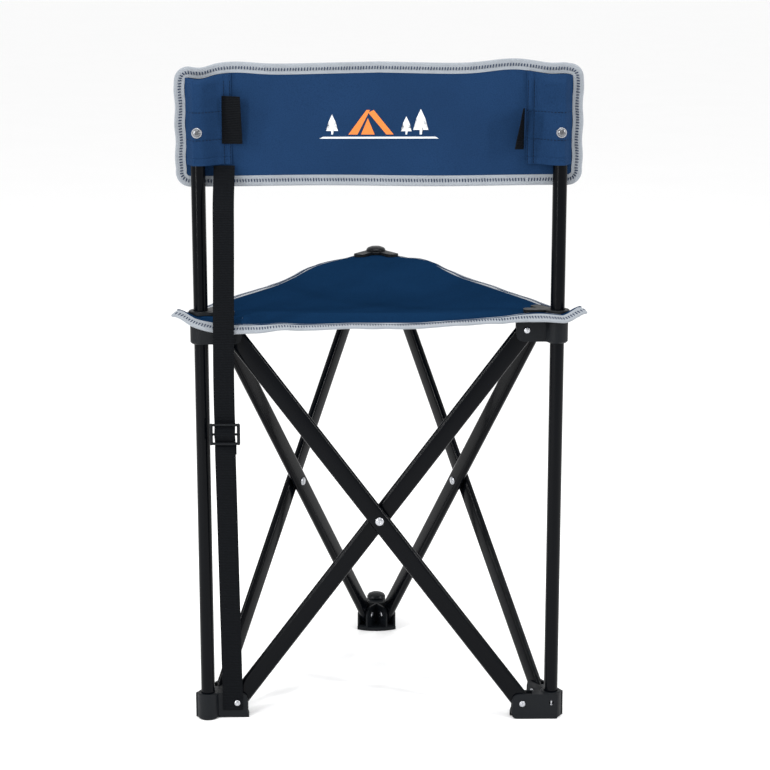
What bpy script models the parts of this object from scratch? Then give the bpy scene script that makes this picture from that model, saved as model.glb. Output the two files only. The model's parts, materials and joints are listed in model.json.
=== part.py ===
"""Folding three-legged camp stool with a backrest.

Frame: +Z up, the sitter faces -Y, the sitter's left is +X, metres.
Three corners (left, right, front) stand at the points of an equilateral triangle.
Each side of the triangle holds one scissor pair of flat-oval bars: the inner bar lies
towards the middle of the stool, the outer bar away from it. The two rear corners have
a round post on which a hub slides; the front corner has a foot and a hub but no post.
"""

import math

import bmesh
import bpy
from mathutils import Matrix, Vector

# Driving dimensions.
CORNER_SPACING = 0.400
PIVOT_REACH = 0.034
LOW_PIVOT_Z = 0.019
HIGH_PIVOT_Z = 0.460
TOTAL_HEIGHT = 0.757
FRONT_RISE = 0.014
BACKREST_HEIGHT = 0.133
BACKREST_HALF_WIDTH = 0.2255

# Tubes.
POST_RADIUS = 0.008
POST_WALL = 0.0012
POST_BASE_Z = 0.006
POST_TOP_Z = TOTAL_HEIGHT - 0.027
BAR_WIDTH = 0.022
BAR_THICKNESS = 0.009
BAR_WALL = 0.0013
BAR_GAP = 0.0016
THROUGH = 0.020  # how far a cutter runs past the wall it opens

# Moulded feet and hubs.
COLLAR_RADIUS = 0.01225
FOOT_HEIGHT = 0.0315
HUB_BASE_Z = 0.446
HUB_TOP_Z = 0.477
COLLAR_CHAMFER = 0.0018
BRACKET_WALL = 0.0024
BRACKET_CLEARANCE = 0.0005
BRACKET_END = PIVOT_REACH + 0.012
BRACKET_INSET = 0.0008
BRACKET_STAGGER = 0.0002
FOOT_BRACKET_RADII = (0.005, 0.008)  # rounding of a bracket's lower and upper outer corner
HUB_BRACKET_RADII = (0.008, 0.003)
SWING_ROOM = 0.0018
RIVET_PAD = 0.007
SLOT_START = PIVOT_REACH - BAR_WIDTH / 2 - 0.001
FIT_GAP = 0.0003
FOOT_BORE_RADIUS = POST_RADIUS + FIT_GAP
SOLE_BASE_Z = 0.0004
SOLE_TOP_Z = 0.0048
SOLE_REACH = 0.0475
SOLE_HALF_ANGLE = math.radians(32)
HUB_BORE_RADIUS = POST_RADIUS + 0.0005
PLUG_BASE_Z = 0.012
CAP_STEM = 0.020
POST_CAP_STEM = 0.008

# Fasteners.
RIVET_RADIUS = 0.0025
RIVET_HOLE_RADIUS = RIVET_RADIUS + FIT_GAP
RIVET_HEAD_RADIUS = 0.0036
CENTRE_HEAD_RADIUS = 0.0050
RIVET_HEAD_HEIGHT = 0.0016
SPACER_RADIUS = 0.007
SPACER_THICKNESS = 0.0010
POST_RIVET_Z = LOW_PIVOT_Z + 0.001

# Seat.
FABRIC_THICKNESS = 0.0020
SEAT_UNDERSIDE_Z = HUB_TOP_Z + FIT_GAP
SEAT_Z = SEAT_UNDERSIDE_Z + FABRIC_THICKNESS / 2
SEAT_FLAT_SHARE = 0.14
SEAT_EDGE_SAG = 0.007
SEAT_MIDDLE_SAG = 0.017
EDGE_OUT_END = 0.022
EDGE_OUT_MIDDLE = 0.012
EDGE_IN_END = 0.014
EDGE_IN_MIDDLE = 0.002
EDGE_DROP_END = 0.010
EDGE_DROP_MIDDLE = 0.005
SEAT_TIP_REACH = 0.036
SEAT_HOLE_RADIUS = POST_RADIUS + 0.001
SEAT_STEPS = 6
TAPE_STATIONS = 14
TAPE_END_SHARE = 0.004
CLAMP_THICKNESS = 0.0040
CLAMP_CHAMFER = 0.0010
CLAMP_ARM_INSET = 0.0004
CLAMP_ARM_RADIUS = 0.005
CLAMP_ARM_REACH = 0.038
CLAMP_RADIUS = COLLAR_RADIUS + 0.0015
CLAMP_Z = SEAT_UNDERSIDE_Z + FABRIC_THICKNESS + FIT_GAP

# Backrest. Depths are measured from the rear plane, positive to the rear.
BACKREST_BASE_Z = TOTAL_HEIGHT - BACKREST_HEIGHT
BINDING_WIDTH = 0.012
BACKREST_CORNER = 0.014
BACKREST_PEAK = 0.005
PANEL_FRONT = -0.0120
PANEL_BACK = -0.0096
BINDING_FRONT = -0.0130
BINDING_BACK = -0.0086
SLEEVE_BASE_Z = BACKREST_BASE_Z + 0.022
SLEEVE_TOP_Z = TOTAL_HEIGHT - BINDING_WIDTH - 0.0065
SLEEVE_INNER_REACH = 0.0365
SLEEVE_OUTER_REACH = 0.0132
SLEEVE_THICKNESS = 0.0016
SLEEVE_INNER_NECK = 0.0150
SLEEVE_OUTER_NECK = 0.0120
SLEEVE_WRAP = 230
SLEEVE_STEPS = 8
SLEEVE_RADIUS = POST_RADIUS + FIT_GAP + SLEEVE_THICKNESS / 2
SCREW_Z = BACKREST_BASE_Z + 0.058
SCREW_RADIUS = 0.0020
SCREW_HEAD_RADIUS = 0.0044
WASHER_RADIUS = 0.0058
WASHER_THICKNESS = 0.0008
# Webbing tabs at the sleeves' inner seams: the left one lies flat, the right one stands out.
TAB_CORNER = 0.0020
TABS = {
    "left": {
        "size": (0.021, 0.0036, 0.050),
        "centre": (0.1625, -0.0046, BACKREST_BASE_Z + 0.0735),
    },
    "right": {
        "size": (0.0036, 0.016, 0.044),
        "centre": (-0.1600, 0.0010, BACKREST_BASE_Z + 0.0615),
    },
}

# Carry strap.
STRAP_WIDTH = 0.024
STRAP_THICKNESS = 0.0016
STRAP_OUT = 0.0257
STRAP_TOP_X = 0.177
STRAP_FOOT_X = 0.171
STRAP_END_Z = 0.010
BUCKLE_Z = 0.345
BUCKLE_DEPTH = 0.0190
BUCKLE_WIDTH = 0.0345
BUCKLE_HEIGHT = 0.025
BUCKLE_THICKNESS = 0.0024
BUCKLE_RIM = 0.0030
BUCKLE_BAR = 0.0012
BUCKLE_WEAVE = 0.0027

# The stool's box is centred on the origin: seat tip in front, strap behind.
DEPTH = CORNER_SPACING * math.sqrt(3) / 2
REAR_Y = (DEPTH + SEAT_TIP_REACH - STRAP_OUT - STRAP_THICKNESS / 2) / 2

CORNERS = {
    "left": Vector((CORNER_SPACING / 2, REAR_Y, 0)),
    "right": Vector((-CORNER_SPACING / 2, REAR_Y, 0)),
    "front": Vector((0, REAR_Y - DEPTH, 0)),
}
CENTRE = sum(CORNERS.values(), Vector()) / 3
# Each side's first corner holds the foot of bar one and the hub of bar two.
SIDES = {
    "rear": ("left", "right", "inner"),
    "left": ("left", "front", "outer"),
    "right": ("right", "front", "outer"),
}
UP = Vector((0, 0, 1))
REARWARD = Vector((0, 1, 0))


# ---------------------------------------------------------------- scene helpers
def clear_scene():
    for obj in list(bpy.data.objects):
        bpy.data.objects.remove(obj, do_unlink=True)


def make_material(name, colour, roughness, metallic=0.0):
    material = bpy.data.materials.new(name)
    material.use_nodes = True
    shader = material.node_tree.nodes["Principled BSDF"]
    shader.inputs["Base Color"].default_value = (*colour, 1)
    shader.inputs["Roughness"].default_value = roughness
    shader.inputs["Metallic"].default_value = metallic
    material.diffuse_color = (*colour, 1)
    return material


def make_pivot(name, position):
    empty = bpy.data.objects.new(name, None)
    empty.empty_display_size = 0.02
    empty.location = position
    bpy.context.collection.objects.link(empty)
    return empty


def add_part(name, bm, material, pivot=None, smooth=True):
    """Turn a bmesh in stool coordinates into a named object held by its pivot."""
    bmesh.ops.recalc_face_normals(bm, faces=bm.faces)
    origin = pivot.location.copy() if pivot else Vector()
    bmesh.ops.translate(bm, verts=bm.verts, vec=-origin)
    mesh = bpy.data.meshes.new(name)
    bm.to_mesh(mesh)
    bm.free()
    mesh.materials.append(material)
    if smooth:
        mesh.shade_smooth()
        mesh.set_sharp_from_angle(angle=math.radians(35))
    obj = bpy.data.objects.new(name, mesh)
    bpy.context.collection.objects.link(obj)
    obj.parent = pivot
    return obj


def cut(obj, bm, operation="DIFFERENCE"):
    """Subtract (or unite) a bmesh in stool coordinates with the exact solver."""
    bmesh.ops.recalc_face_normals(bm, faces=bm.faces)
    mesh = bpy.data.meshes.new(obj.name + "_tool")
    bm.to_mesh(mesh)
    bm.free()
    tool = bpy.data.objects.new(mesh.name, mesh)
    bpy.context.collection.objects.link(tool)
    tool.hide_render = True
    tool.display_type = "WIRE"
    modifier = obj.modifiers.new(operation.title(), "BOOLEAN")
    modifier.operation = operation
    modifier.object = tool


# --------------------------------------------------------------- shape helpers
def local_frame(origin, along, across, up=UP):
    """Matrix whose columns are three unit directions, placed at origin."""
    columns = Matrix((along, across, up)).transposed().to_4x4()
    return Matrix.Translation(origin) @ columns


def rounded_outline(points, radii, steps=3):
    """Closed outline of (a, b) points with an arc of the given radius at each one."""
    outline = []
    count = len(points)
    for index, (point, radius) in enumerate(zip(points, radii)):
        here = Vector(point)
        if radius == 0:
            outline.append(here)
            continue
        before = (Vector(points[index - 1]) - here).normalized()
        after = (Vector(points[(index + 1) % count]) - here).normalized()
        half = before.angle(after) / 2
        centre = here + (before + after).normalized() * radius / math.sin(half)
        start = here + before * radius / math.tan(half) - centre
        end = here + after * radius / math.tan(half) - centre
        for step in range(steps + 1):
            spoke = start.slerp(end, step / steps).normalized()
            outline.append(centre + spoke * radius)
    return outline


def prism(outline, low, high, frame):
    """Outline in the frame's first and third directions, extruded along its second."""
    bm = bmesh.new()
    rings = [
        [bm.verts.new(frame @ Vector((a, depth, b))) for a, b in outline]
        for depth in (low, high)
    ]
    bridge(bm, rings, closed=True)
    bm.faces.new(rings[0])
    bm.faces.new(rings[1])
    return bm


def bridge(bm, rings, closed):
    """Quads between neighbouring rings of the same length."""
    for first, second in zip(rings, rings[1:]):
        count = len(first)
        for index in range(count if closed else count - 1):
            after = (index + 1) % count
            bm.faces.new((first[index], first[after], second[after], second[index]))


def turned(profile, frame, segments=24):
    """Solid of revolution about the frame's third direction.

    A profile point with radius 0 becomes a single point on the axis.
    """
    bm = bmesh.new()
    rings = []
    for radius, height in profile:
        if radius == 0:
            rings.append([bm.verts.new(frame @ Vector((0, 0, height)))])
            continue
        angles = [2 * math.pi * step / segments for step in range(segments)]
        rings.append(
            [
                bm.verts.new(
                    frame @ Vector((radius * math.cos(a), radius * math.sin(a), height))
                )
                for a in angles
            ]
        )
    for first, second in zip(rings, rings[1:]):
        for index in range(segments):
            after = (index + 1) % segments
            corners = [first[index % len(first)], second[index % len(second)]]
            if len(second) > 1:
                corners.append(second[after])
            if len(first) > 1:
                corners.append(first[after])
            bm.faces.new(corners)
    return bm


def turned_ring(profile, frame, segments=24):
    """Solid of revolution from a closed profile that stays off the axis."""
    bm = turned(profile + profile[:1], frame, segments)
    bmesh.ops.remove_doubles(bm, verts=bm.verts, dist=1e-7)
    return bm


def rod(start, end, radius, segments=16):
    """Plain cylinder between two points."""
    axis = (end - start).normalized()
    side = axis.orthogonal().normalized()
    frame = local_frame(start, side, axis.cross(side), axis)
    length = (end - start).length
    return turned([(0, 0), (radius, 0), (radius, length), (0, length)], frame, segments)


def box(low, high, frame):
    outline = [(low[0], low[2]), (high[0], low[2]), (high[0], high[2]), (low[0], high[2])]
    return prism(outline, low[1], high[1], frame)


# --------------------------------------------------------------- side geometry
def side_direction(first, second):
    return (CORNERS[second] - CORNERS[first]).normalized()


def outward(first, second):
    """Unit normal of a side's plane, pointing away from the stool's middle."""
    along = side_direction(first, second)
    normal = Vector((along.y, -along.x, 0))
    middle = (CORNERS[first] + CORNERS[second]) / 2
    return normal if normal.dot(middle - CENTRE) > 0 else -normal


def bar_centre_offset():
    return (BAR_GAP + BAR_THICKNESS) / 2


def pivot_point(corner, neighbour, height, layer):
    """Middle of a bar's end pivot at this corner; layer is +1 outer, -1 inner."""
    along = side_direction(corner, neighbour)
    across = outward(corner, neighbour) * layer
    place = CORNERS[corner] + along * PIVOT_REACH + across * bar_centre_offset()
    return place + UP * height


LAYER = {"outer": 1, "inner": -1}


def side_bars(side):
    """(name, foot corner, hub corner, layer) of the side's two bars."""
    first, second, first_layer = SIDES[side]
    other_layer = "inner" if first_layer == "outer" else "outer"
    return (
        (f"{side}_{first_layer}_bar", first, second, LAYER[first_layer]),
        (f"{side}_{other_layer}_bar", second, first, LAYER[other_layer]),
    )


def corner_brackets(corner, at_foot):
    """(neighbour, layer) of the two bars that end at this corner's foot or hub."""
    found = []
    for side in SIDES:
        for _, foot, hub, layer in side_bars(side):
            if (foot if at_foot else hub) == corner:
                found.append((hub if at_foot else foot, layer))
    return found


def bracket_frame(corner, neighbour, layer):
    """Along the side, across it towards the bar, and up, from the corner's axis."""
    along = side_direction(corner, neighbour)
    return local_frame(CORNERS[corner], along, outward(corner, neighbour) * layer)


def bracket_depths():
    """Where a bracket's slot and its outer faces lie, across the side's plane."""
    slot_low = BAR_GAP / 2 - BRACKET_CLEARANCE
    slot_high = BAR_GAP / 2 + BAR_THICKNESS + BRACKET_CLEARANCE
    return slot_low - BRACKET_WALL, slot_low, slot_high, slot_high + BRACKET_WALL


# ------------------------------------------------------------------ the frame
def build_posts(pivots, steel, plastic):
    for corner in ("left", "right"):
        frame = Matrix.Translation(CORNERS[corner])
        inner = POST_RADIUS - POST_WALL
        profile = [
            (POST_RADIUS, POST_TOP_Z),
            (POST_RADIUS, POST_BASE_Z),
            (inner, POST_BASE_Z),
            (inner, POST_TOP_Z),
        ]
        post = add_part(
            f"{corner}_post", turned_ring(profile, frame), steel, pivots[f"{corner}_post"]
        )
        cut(post, post_rivet_rod(corner, RIVET_HOLE_RADIUS))
        rear = CORNERS[corner] + UP * SCREW_Z
        cut(post, rod(rear, rear + REARWARD * THROUGH, SCREW_RADIUS + FIT_GAP, 12))
        cap_base = POST_TOP_Z + FIT_GAP
        stem = inner - FIT_GAP
        cap = [
            (0, POST_TOP_Z - POST_CAP_STEM),
            (stem, POST_TOP_Z - POST_CAP_STEM),
            (stem, cap_base),
            (POST_RADIUS, cap_base),
            (POST_RADIUS, cap_base + 0.0015),
            (POST_RADIUS * 0.7, cap_base + 0.0030),
            (0, cap_base + 0.0036),
        ]
        add_part(f"{corner}_post_cap", turned(cap, frame, 16), plastic, pivots[f"{corner}_post"])


def post_rivet_direction(corner):
    """The fixing rivet goes in through the foot's flat outer bracket."""
    return outward(corner, "left" if corner == "right" else "front")


def post_rivet_rod(corner, radius):
    middle = CORNERS[corner] + UP * POST_RIVET_Z
    return rod(middle, middle + post_rivet_direction(corner) * THROUGH, radius, 10)


def bar_section():
    """Flat-oval outline points (width, thickness) with a round edge on each side."""
    radius = BAR_THICKNESS / 2
    flat = BAR_WIDTH / 2 - radius
    points = []
    for side in (1, -1):
        for step in range(5):
            angle = math.radians(-90 + 45 * step)
            width = flat + radius * math.cos(angle)
            points.append((side * width, side * radius * math.sin(angle)))
        points.append((0, side * radius))
    return points


def bar_mesh(low, high, across):
    """Hollow flat-oval tube from pivot to pivot, its open ends cut to a half round."""
    along = (high - low).normalized()
    widthwise = along.cross(across)
    middle = (low + high) / 2
    half_length = (high - low).length / 2
    end_radius = BAR_WIDTH / 2
    inner_scale = (
        (end_radius - BAR_WALL) / end_radius,
        (BAR_THICKNESS / 2 - BAR_WALL) / (BAR_THICKNESS / 2),
    )
    bm = bmesh.new()
    rings = []
    for scale in ((1, 1), inner_scale):
        for end in (-1, 1):
            ring = []
            for width, depth in bar_section():
                reach = half_length + math.sqrt(max(end_radius**2 - width**2, 0))
                point = middle + along * end * reach
                point += widthwise * width * scale[0] + across * depth * scale[1]
                ring.append(bm.verts.new(point))
            rings.append(ring)
    outer_low, outer_high, inner_low, inner_high = rings
    bridge(bm, [outer_low, outer_high, inner_high, inner_low, outer_low], closed=True)
    return bm


def build_bars(pivots, steel):
    for side in SIDES:
        for name, foot, hub, layer in side_bars(side):
            low = pivot_point(foot, hub, LOW_PIVOT_Z, layer)
            high = pivot_point(hub, foot, HIGH_PIVOT_Z, layer)
            across = outward(foot, hub)
            bar = add_part(name, bar_mesh(low, high, across), steel, pivots[name])
            for place in (low, (low + high) / 2, high):
                reach = across * THROUGH / 2
                cut(bar, rod(place - reach, place + reach, RIVET_HOLE_RADIUS, 10))


def block_profile(start, low, high, corner_radius):
    """Side view of a bracket: from inside the collar to its rounded end."""
    points = [(start, low), (BRACKET_END, low), (BRACKET_END, high), (start, high)]
    return rounded_outline(points, (0, corner_radius[0], corner_radius[1], 0))


def build_bracketed(name, corner, at_foot, base, top, plastic, pivot):
    """A foot or hub: a collar with two slotted brackets moulded onto it."""
    frame = Matrix.Translation(CORNERS[corner])
    chamfer = COLLAR_CHAMFER
    collar = [
        (0, base),
        (COLLAR_RADIUS - chamfer, base),
        (COLLAR_RADIUS, base + chamfer),
        (COLLAR_RADIUS, top - chamfer / 2),
        (COLLAR_RADIUS - chamfer / 2, top),
        (0, top),
    ]
    part = add_part(name, turned(collar, frame, 24), plastic, pivot)
    out_low, slot_low, slot_high, out_high = bracket_depths()
    pivot_z = LOW_PIVOT_Z if at_foot else HIGH_PIVOT_Z
    block_low = base + BRACKET_INSET
    block_high = top - BRACKET_INSET
    radii = FOOT_BRACKET_RADII if at_foot else HUB_BRACKET_RADII
    brackets = corner_brackets(corner, at_foot)
    for order, (neighbour, layer) in enumerate(brackets):
        place = bracket_frame(corner, neighbour, layer)
        stagger = order * BRACKET_STAGGER
        start = -RIVET_PAD if at_foot and layer == LAYER["outer"] else 0
        outline = block_profile(start, block_low + stagger, block_high - stagger, radii)
        cut(part, prism(outline, out_low, out_high - stagger, place), "UNION")
    swing = BAR_WIDTH / 2 + SWING_ROOM
    for neighbour, layer in brackets:
        place = bracket_frame(corner, neighbour, layer)
        if at_foot:
            slot = (pivot_z - swing, top + THROUGH)
        else:
            slot = (base - THROUGH, pivot_z + swing)
        low = (SLOT_START, slot_low, slot[0])
        high = (BRACKET_END + THROUGH, slot_high, slot[1])
        cut(part, box(low, high, place))
        middle = pivot_point(corner, neighbour, pivot_z, layer)
        across = outward(corner, neighbour) * THROUGH * 0.8
        cut(part, rod(middle - across, middle + across, RIVET_HOLE_RADIUS, 10))
    return part


def sole_mesh(corner):
    """Plate that fills the wedge between a foot's two brackets, with a rounded inner edge."""
    inward = (CENTRE - CORNERS[corner]).normalized()
    frame = local_frame(CORNERS[corner], inward, UP, inward.cross(UP))
    outline = [Vector((0, 0))]
    for step in range(13):
        angle = SOLE_HALF_ANGLE * (step / 6 - 1)
        outline.append(Vector((math.cos(angle), math.sin(angle))) * SOLE_REACH)
    return prism(outline, SOLE_BASE_Z, SOLE_TOP_Z, frame)


def build_feet(pivots, plastic):
    for corner in CORNERS:
        name = f"{corner}_foot"
        pivot = pivots["front_foot" if corner == "front" else f"{corner}_post"]
        foot = build_bracketed(name, corner, True, 0.0, FOOT_HEIGHT, plastic, pivot)
        cut(foot, sole_mesh(corner), "UNION")
        floor = CORNERS[corner] + UP * (POST_BASE_Z - FIT_GAP)
        cut(foot, rod(floor, floor + UP * 2 * FOOT_HEIGHT, FOOT_BORE_RADIUS, 24))
        if corner != "front":
            cut(foot, post_rivet_rod(corner, RIVET_HOLE_RADIUS))
    plug_top = FOOT_HEIGHT + FIT_GAP
    plug = [
        (0, PLUG_BASE_Z),
        (POST_RADIUS, PLUG_BASE_Z),
        (POST_RADIUS, plug_top),
        (COLLAR_RADIUS, plug_top),
        (COLLAR_RADIUS, plug_top + 0.0015),
        (COLLAR_RADIUS * 0.86, plug_top + 0.0045),
        (COLLAR_RADIUS * 0.50, plug_top + 0.0064),
        (0, plug_top + 0.0070),
    ]
    frame = Matrix.Translation(CORNERS["front"])
    add_part("front_foot_plug", turned(plug, frame), plastic, pivots["front_foot"])


def build_hubs(pivots, plastic):
    for corner in CORNERS:
        rise = FRONT_RISE if corner == "front" else 0
        top = HUB_TOP_Z + rise
        pivot = pivots[f"{corner}_hub"]
        hub = build_bracketed(f"{corner}_hub", corner, False, HUB_BASE_Z, top, plastic, pivot)
        low = CORNERS[corner] + UP * (HUB_BASE_Z - THROUGH)
        high = CORNERS[corner] + UP * (top + THROUGH)
        cut(hub, rod(low, high, HUB_BORE_RADIUS, 24))
        build_clamp(corner, CLAMP_Z + rise, plastic, pivot)
    base = CLAMP_Z + FRONT_RISE + CLAMP_THICKNESS + FIT_GAP
    cap = [
        (0, base - CAP_STEM),
        (POST_RADIUS, base - CAP_STEM),
        (POST_RADIUS, base),
        (COLLAR_RADIUS, base),
        (COLLAR_RADIUS, base + 0.0012),
        (COLLAR_RADIUS * 0.86, base + 0.0034),
        (COLLAR_RADIUS * 0.50, base + 0.0050),
        (0, base + 0.0056),
    ]
    frame = Matrix.Translation(CORNERS["front"])
    add_part("front_hub_cap", turned(cap, frame), plastic, pivots["front_hub"])


def build_clamp(corner, base, plastic, pivot):
    """Cover plate that holds the fabric's corner down on the hub, arms over the brackets."""
    frame = Matrix.Translation(CORNERS[corner])
    top = base + CLAMP_THICKNESS
    disc = [
        (0, base),
        (CLAMP_RADIUS, base),
        (CLAMP_RADIUS, top - CLAMP_CHAMFER),
        (CLAMP_RADIUS - CLAMP_CHAMFER, top),
        (0, top),
    ]
    plate = add_part(f"{corner}_clamp_plate", turned(disc, frame, 24), plastic, pivot)
    out_low, _, _, out_high = bracket_depths()
    for neighbour, layer in corner_brackets(corner, False):
        place = bracket_frame(corner, neighbour, layer)
        flat = local_frame(
            place.translation, place.col[0].to_3d(), UP, place.col[1].to_3d()
        )
        reach = CLAMP_ARM_REACH
        points = [(0, out_low), (reach, out_low), (reach, out_high), (0, out_high)]
        outline = rounded_outline(points, (0, CLAMP_ARM_RADIUS, CLAMP_ARM_RADIUS, 0))
        cut(plate, prism(outline, base, top - CLAMP_ARM_INSET, flat), "UNION")
    low = CORNERS[corner] + UP * (base - THROUGH)
    high = CORNERS[corner] + UP * (top + THROUGH)
    cut(plate, rod(low, high, HUB_BORE_RADIUS, 24))


# ------------------------------------------------------------------ fasteners
def rivet_mesh(start, end, head_radius):
    """Rivet whose two domed heads sit outside start and end."""
    axis = (end - start).normalized()
    side = axis.orthogonal().normalized()
    frame = local_frame(start, side, axis.cross(side), axis)
    length = (end - start).length
    height = RIVET_HEAD_HEIGHT
    head = [(0, -height), (head_radius * 0.6, -height * 0.8), (head_radius, 0)]
    shank = [(RIVET_RADIUS, 0), (RIVET_RADIUS, length)]
    tail = [(radius, length - depth) for radius, depth in reversed(head)]
    return turned(head + shank + tail, frame, 8)


def build_pivot_rivets(pivots, zinc):
    """One rivet through each bracket and the bar's end in it."""
    out_low, _, _, out_high = bracket_depths()
    for corner in CORNERS:
        for at_foot in (True, False):
            level = "foot" if at_foot else "hub"
            body = f"{corner}_post" if at_foot and corner != "front" else f"{corner}_{level}"
            height = LOW_PIVOT_Z if at_foot else HIGH_PIVOT_Z
            for neighbour, layer in corner_brackets(corner, at_foot):
                place = bracket_frame(corner, neighbour, layer)
                low = out_low - FIT_GAP
                if at_foot and (corner, neighbour) == ("left", "right"):
                    low -= STRAP_THICKNESS + 2 * FIT_GAP
                ends = [
                    place @ Vector((PIVOT_REACH, depth, height))
                    for depth in (low, out_high + FIT_GAP)
                ]
                name = f"{corner}_{level}_rivet_{neighbour}"
                add_part(name, rivet_mesh(*ends, RIVET_HEAD_RADIUS), zinc, pivots[body])


def build_centre_rivets(pivots, zinc, plastic):
    """A larger rivet and a plastic spacer where the two bars of each side cross."""
    for side in SIDES:
        name, foot, hub, layer = side_bars(side)[0]
        low = pivot_point(foot, hub, LOW_PIVOT_Z, layer)
        high = pivot_point(hub, foot, HIGH_PIVOT_Z, layer)
        across = outward(foot, hub)
        middle = (low + high) / 2 - across * layer * bar_centre_offset()
        reach = across * (BAR_GAP / 2 + BAR_THICKNESS + FIT_GAP)
        rivet = rivet_mesh(middle - reach, middle + reach, CENTRE_HEAD_RADIUS)
        add_part(f"{side}_centre_rivet", rivet, zinc, pivots[name])
        half = SPACER_THICKNESS / 2
        ring = [
            (SPACER_RADIUS, half),
            (SPACER_RADIUS, -half),
            (RIVET_HOLE_RADIUS, -half),
            (RIVET_HOLE_RADIUS, half),
        ]
        frame = local_frame(middle, UP, across.cross(UP), across)
        spacer = turned_ring(ring, frame, 12)
        add_part(f"{side}_centre_spacer", spacer, plastic, pivots[name])


def build_post_rivets(pivots, zinc):
    """A blind rivet that fixes each post in its foot."""
    outside = bracket_depths()[-1] + FIT_GAP
    inside = math.sqrt((POST_RADIUS - POST_WALL) ** 2 - RIVET_HEAD_RADIUS**2) - FIT_GAP
    for corner in ("left", "right"):
        middle = CORNERS[corner] + UP * POST_RIVET_Z
        reach = post_rivet_direction(corner)
        rivet = rivet_mesh(middle + reach * inside, middle + reach * outside, RIVET_HEAD_RADIUS)
        add_part(f"{corner}_post_rivet", rivet, zinc, pivots[f"{corner}_post"])


# ----------------------------------------------------------------------- seat
def smooth(value):
    """Smooth rise from 0 to 1 as value goes from 0 to 1."""
    value = min(max(value, 0), 1)
    return value * value * (3 - 2 * value)


def corner_shares(point):
    """How much each corner weighs at a point, adding up to 1."""
    shares = {}
    for corner, place in CORNERS.items():
        inward = (CENTRE - place).normalized()
        shares[corner] = 1 - (point - place).dot(inward) / DEPTH
    return shares


def seat_height(point):
    """Middle of the fabric: flat on each hub, sagging between them."""
    shares = corner_shares(point)
    away = 1 - max(shares.values())
    climb = (shares["front"] - SEAT_FLAT_SHARE) / (1 - 2 * SEAT_FLAT_SHARE)
    rise = FRONT_RISE * min(max(climb, 0), 1)
    edge = smooth((away - SEAT_FLAT_SHARE) / (0.5 - SEAT_FLAT_SHARE))
    inside = smooth(27 * shares["left"] * shares["right"] * shares["front"])
    sag = SEAT_EDGE_SAG * edge + (SEAT_MIDDLE_SAG - SEAT_EDGE_SAG) * inside
    return SEAT_Z + rise - sag


def bow(share):
    """0 along the hubs at both ends of a side, rising to 1 at its middle."""
    return smooth((min(share, 1 - share) - SEAT_FLAT_SHARE) / (0.5 - SEAT_FLAT_SHARE))


def border_point(first, second, share, at_end, at_middle):
    """Point on a side's border; its distance from the side's line curves inwards."""
    line = CORNERS[first].lerp(CORNERS[second], share)
    return line + outward(first, second) * (at_end + (at_middle - at_end) * bow(share))


def seat_tip(corner, reach):
    return CORNERS[corner] - (CENTRE - CORNERS[corner]).normalized() * reach


def sheet_solid(grid, thickness):
    """Closed plate between two copies of a grid of points, half a thickness each way."""
    bm = bmesh.new()
    layers = []
    for lift in (-thickness / 2, thickness / 2):
        layers.append([[bm.verts.new(p + UP * lift) for p in row] for row in grid])
    for layer in layers:
        bridge(bm, layer, closed=False)
    rims = []
    for layer in layers:
        top, bottom = layer[0], layer[-1]
        right = [row[-1] for row in layer[1:-1]]
        left = [row[0] for row in layer[1:-1]]
        rims.append(top + right + bottom[::-1] + left[::-1])
    bridge(bm, rims, closed=True)
    return bm


def seat_third_point(corner, a, b):
    """Point of a hub's third of the seat; a and b run from its tip along its two edges.

    The four borders are the two seat edges and the two lines to the seat's centre, and
    the inside is blended between them (a Coons patch).
    """
    others = [name for name in CORNERS if name != corner]
    tip = seat_tip(corner, 2 * EDGE_IN_END - FIT_GAP)
    middles = [border_point(corner, other, 0.5, EDGE_IN_END, EDGE_IN_MIDDLE) for other in others]
    edges = []
    for other, share in zip(others, (a, b)):
        edge = border_point(corner, other, share / 2, EDGE_IN_END, EDGE_IN_MIDDLE)
        edges.append(edge + (tip - edge) * (1 - share) ** 3)
    first, second = edges
    far_first = middles[0].lerp(CENTRE, b)
    far_second = middles[1].lerp(CENTRE, a)
    between_edges = first * (1 - b) + far_second * b + second * (1 - a) + far_first * a
    between_corners = (
        tip * (1 - a) * (1 - b)
        + middles[0] * a * (1 - b)
        + middles[1] * (1 - a) * b
        + CENTRE * a * b
    )
    inward = (CENTRE - CORNERS[corner]).normalized()
    point = between_edges - between_corners - inward * FIT_GAP
    point.z = seat_height(point)
    return point


def build_seat(pivots, fabric, tape):
    """Each hub carries its third of the fabric; each edge's tape is a strip of its own."""
    shares = [step / SEAT_STEPS for step in range(SEAT_STEPS + 1)]
    for corner in CORNERS:
        grid = [[seat_third_point(corner, a, b) for b in shares] for a in shares]
        piece = sheet_solid(grid, FABRIC_THICKNESS)
        seat = add_part(f"seat_panel_{corner}", piece, fabric, pivots[f"{corner}_hub"])
        low = CORNERS[corner] + UP * (SEAT_Z - THROUGH)
        high = CORNERS[corner] + UP * (SEAT_Z + 2 * THROUGH)
        cut(seat, rod(low, high, SEAT_HOLE_RADIUS, 24))
    for side, (first, second, _) in SIDES.items():
        strip = edge_strip(first, second)
        add_part(f"seat_binding_{side}", strip, tape, pivots[f"seat_{side}_edge"])


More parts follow.
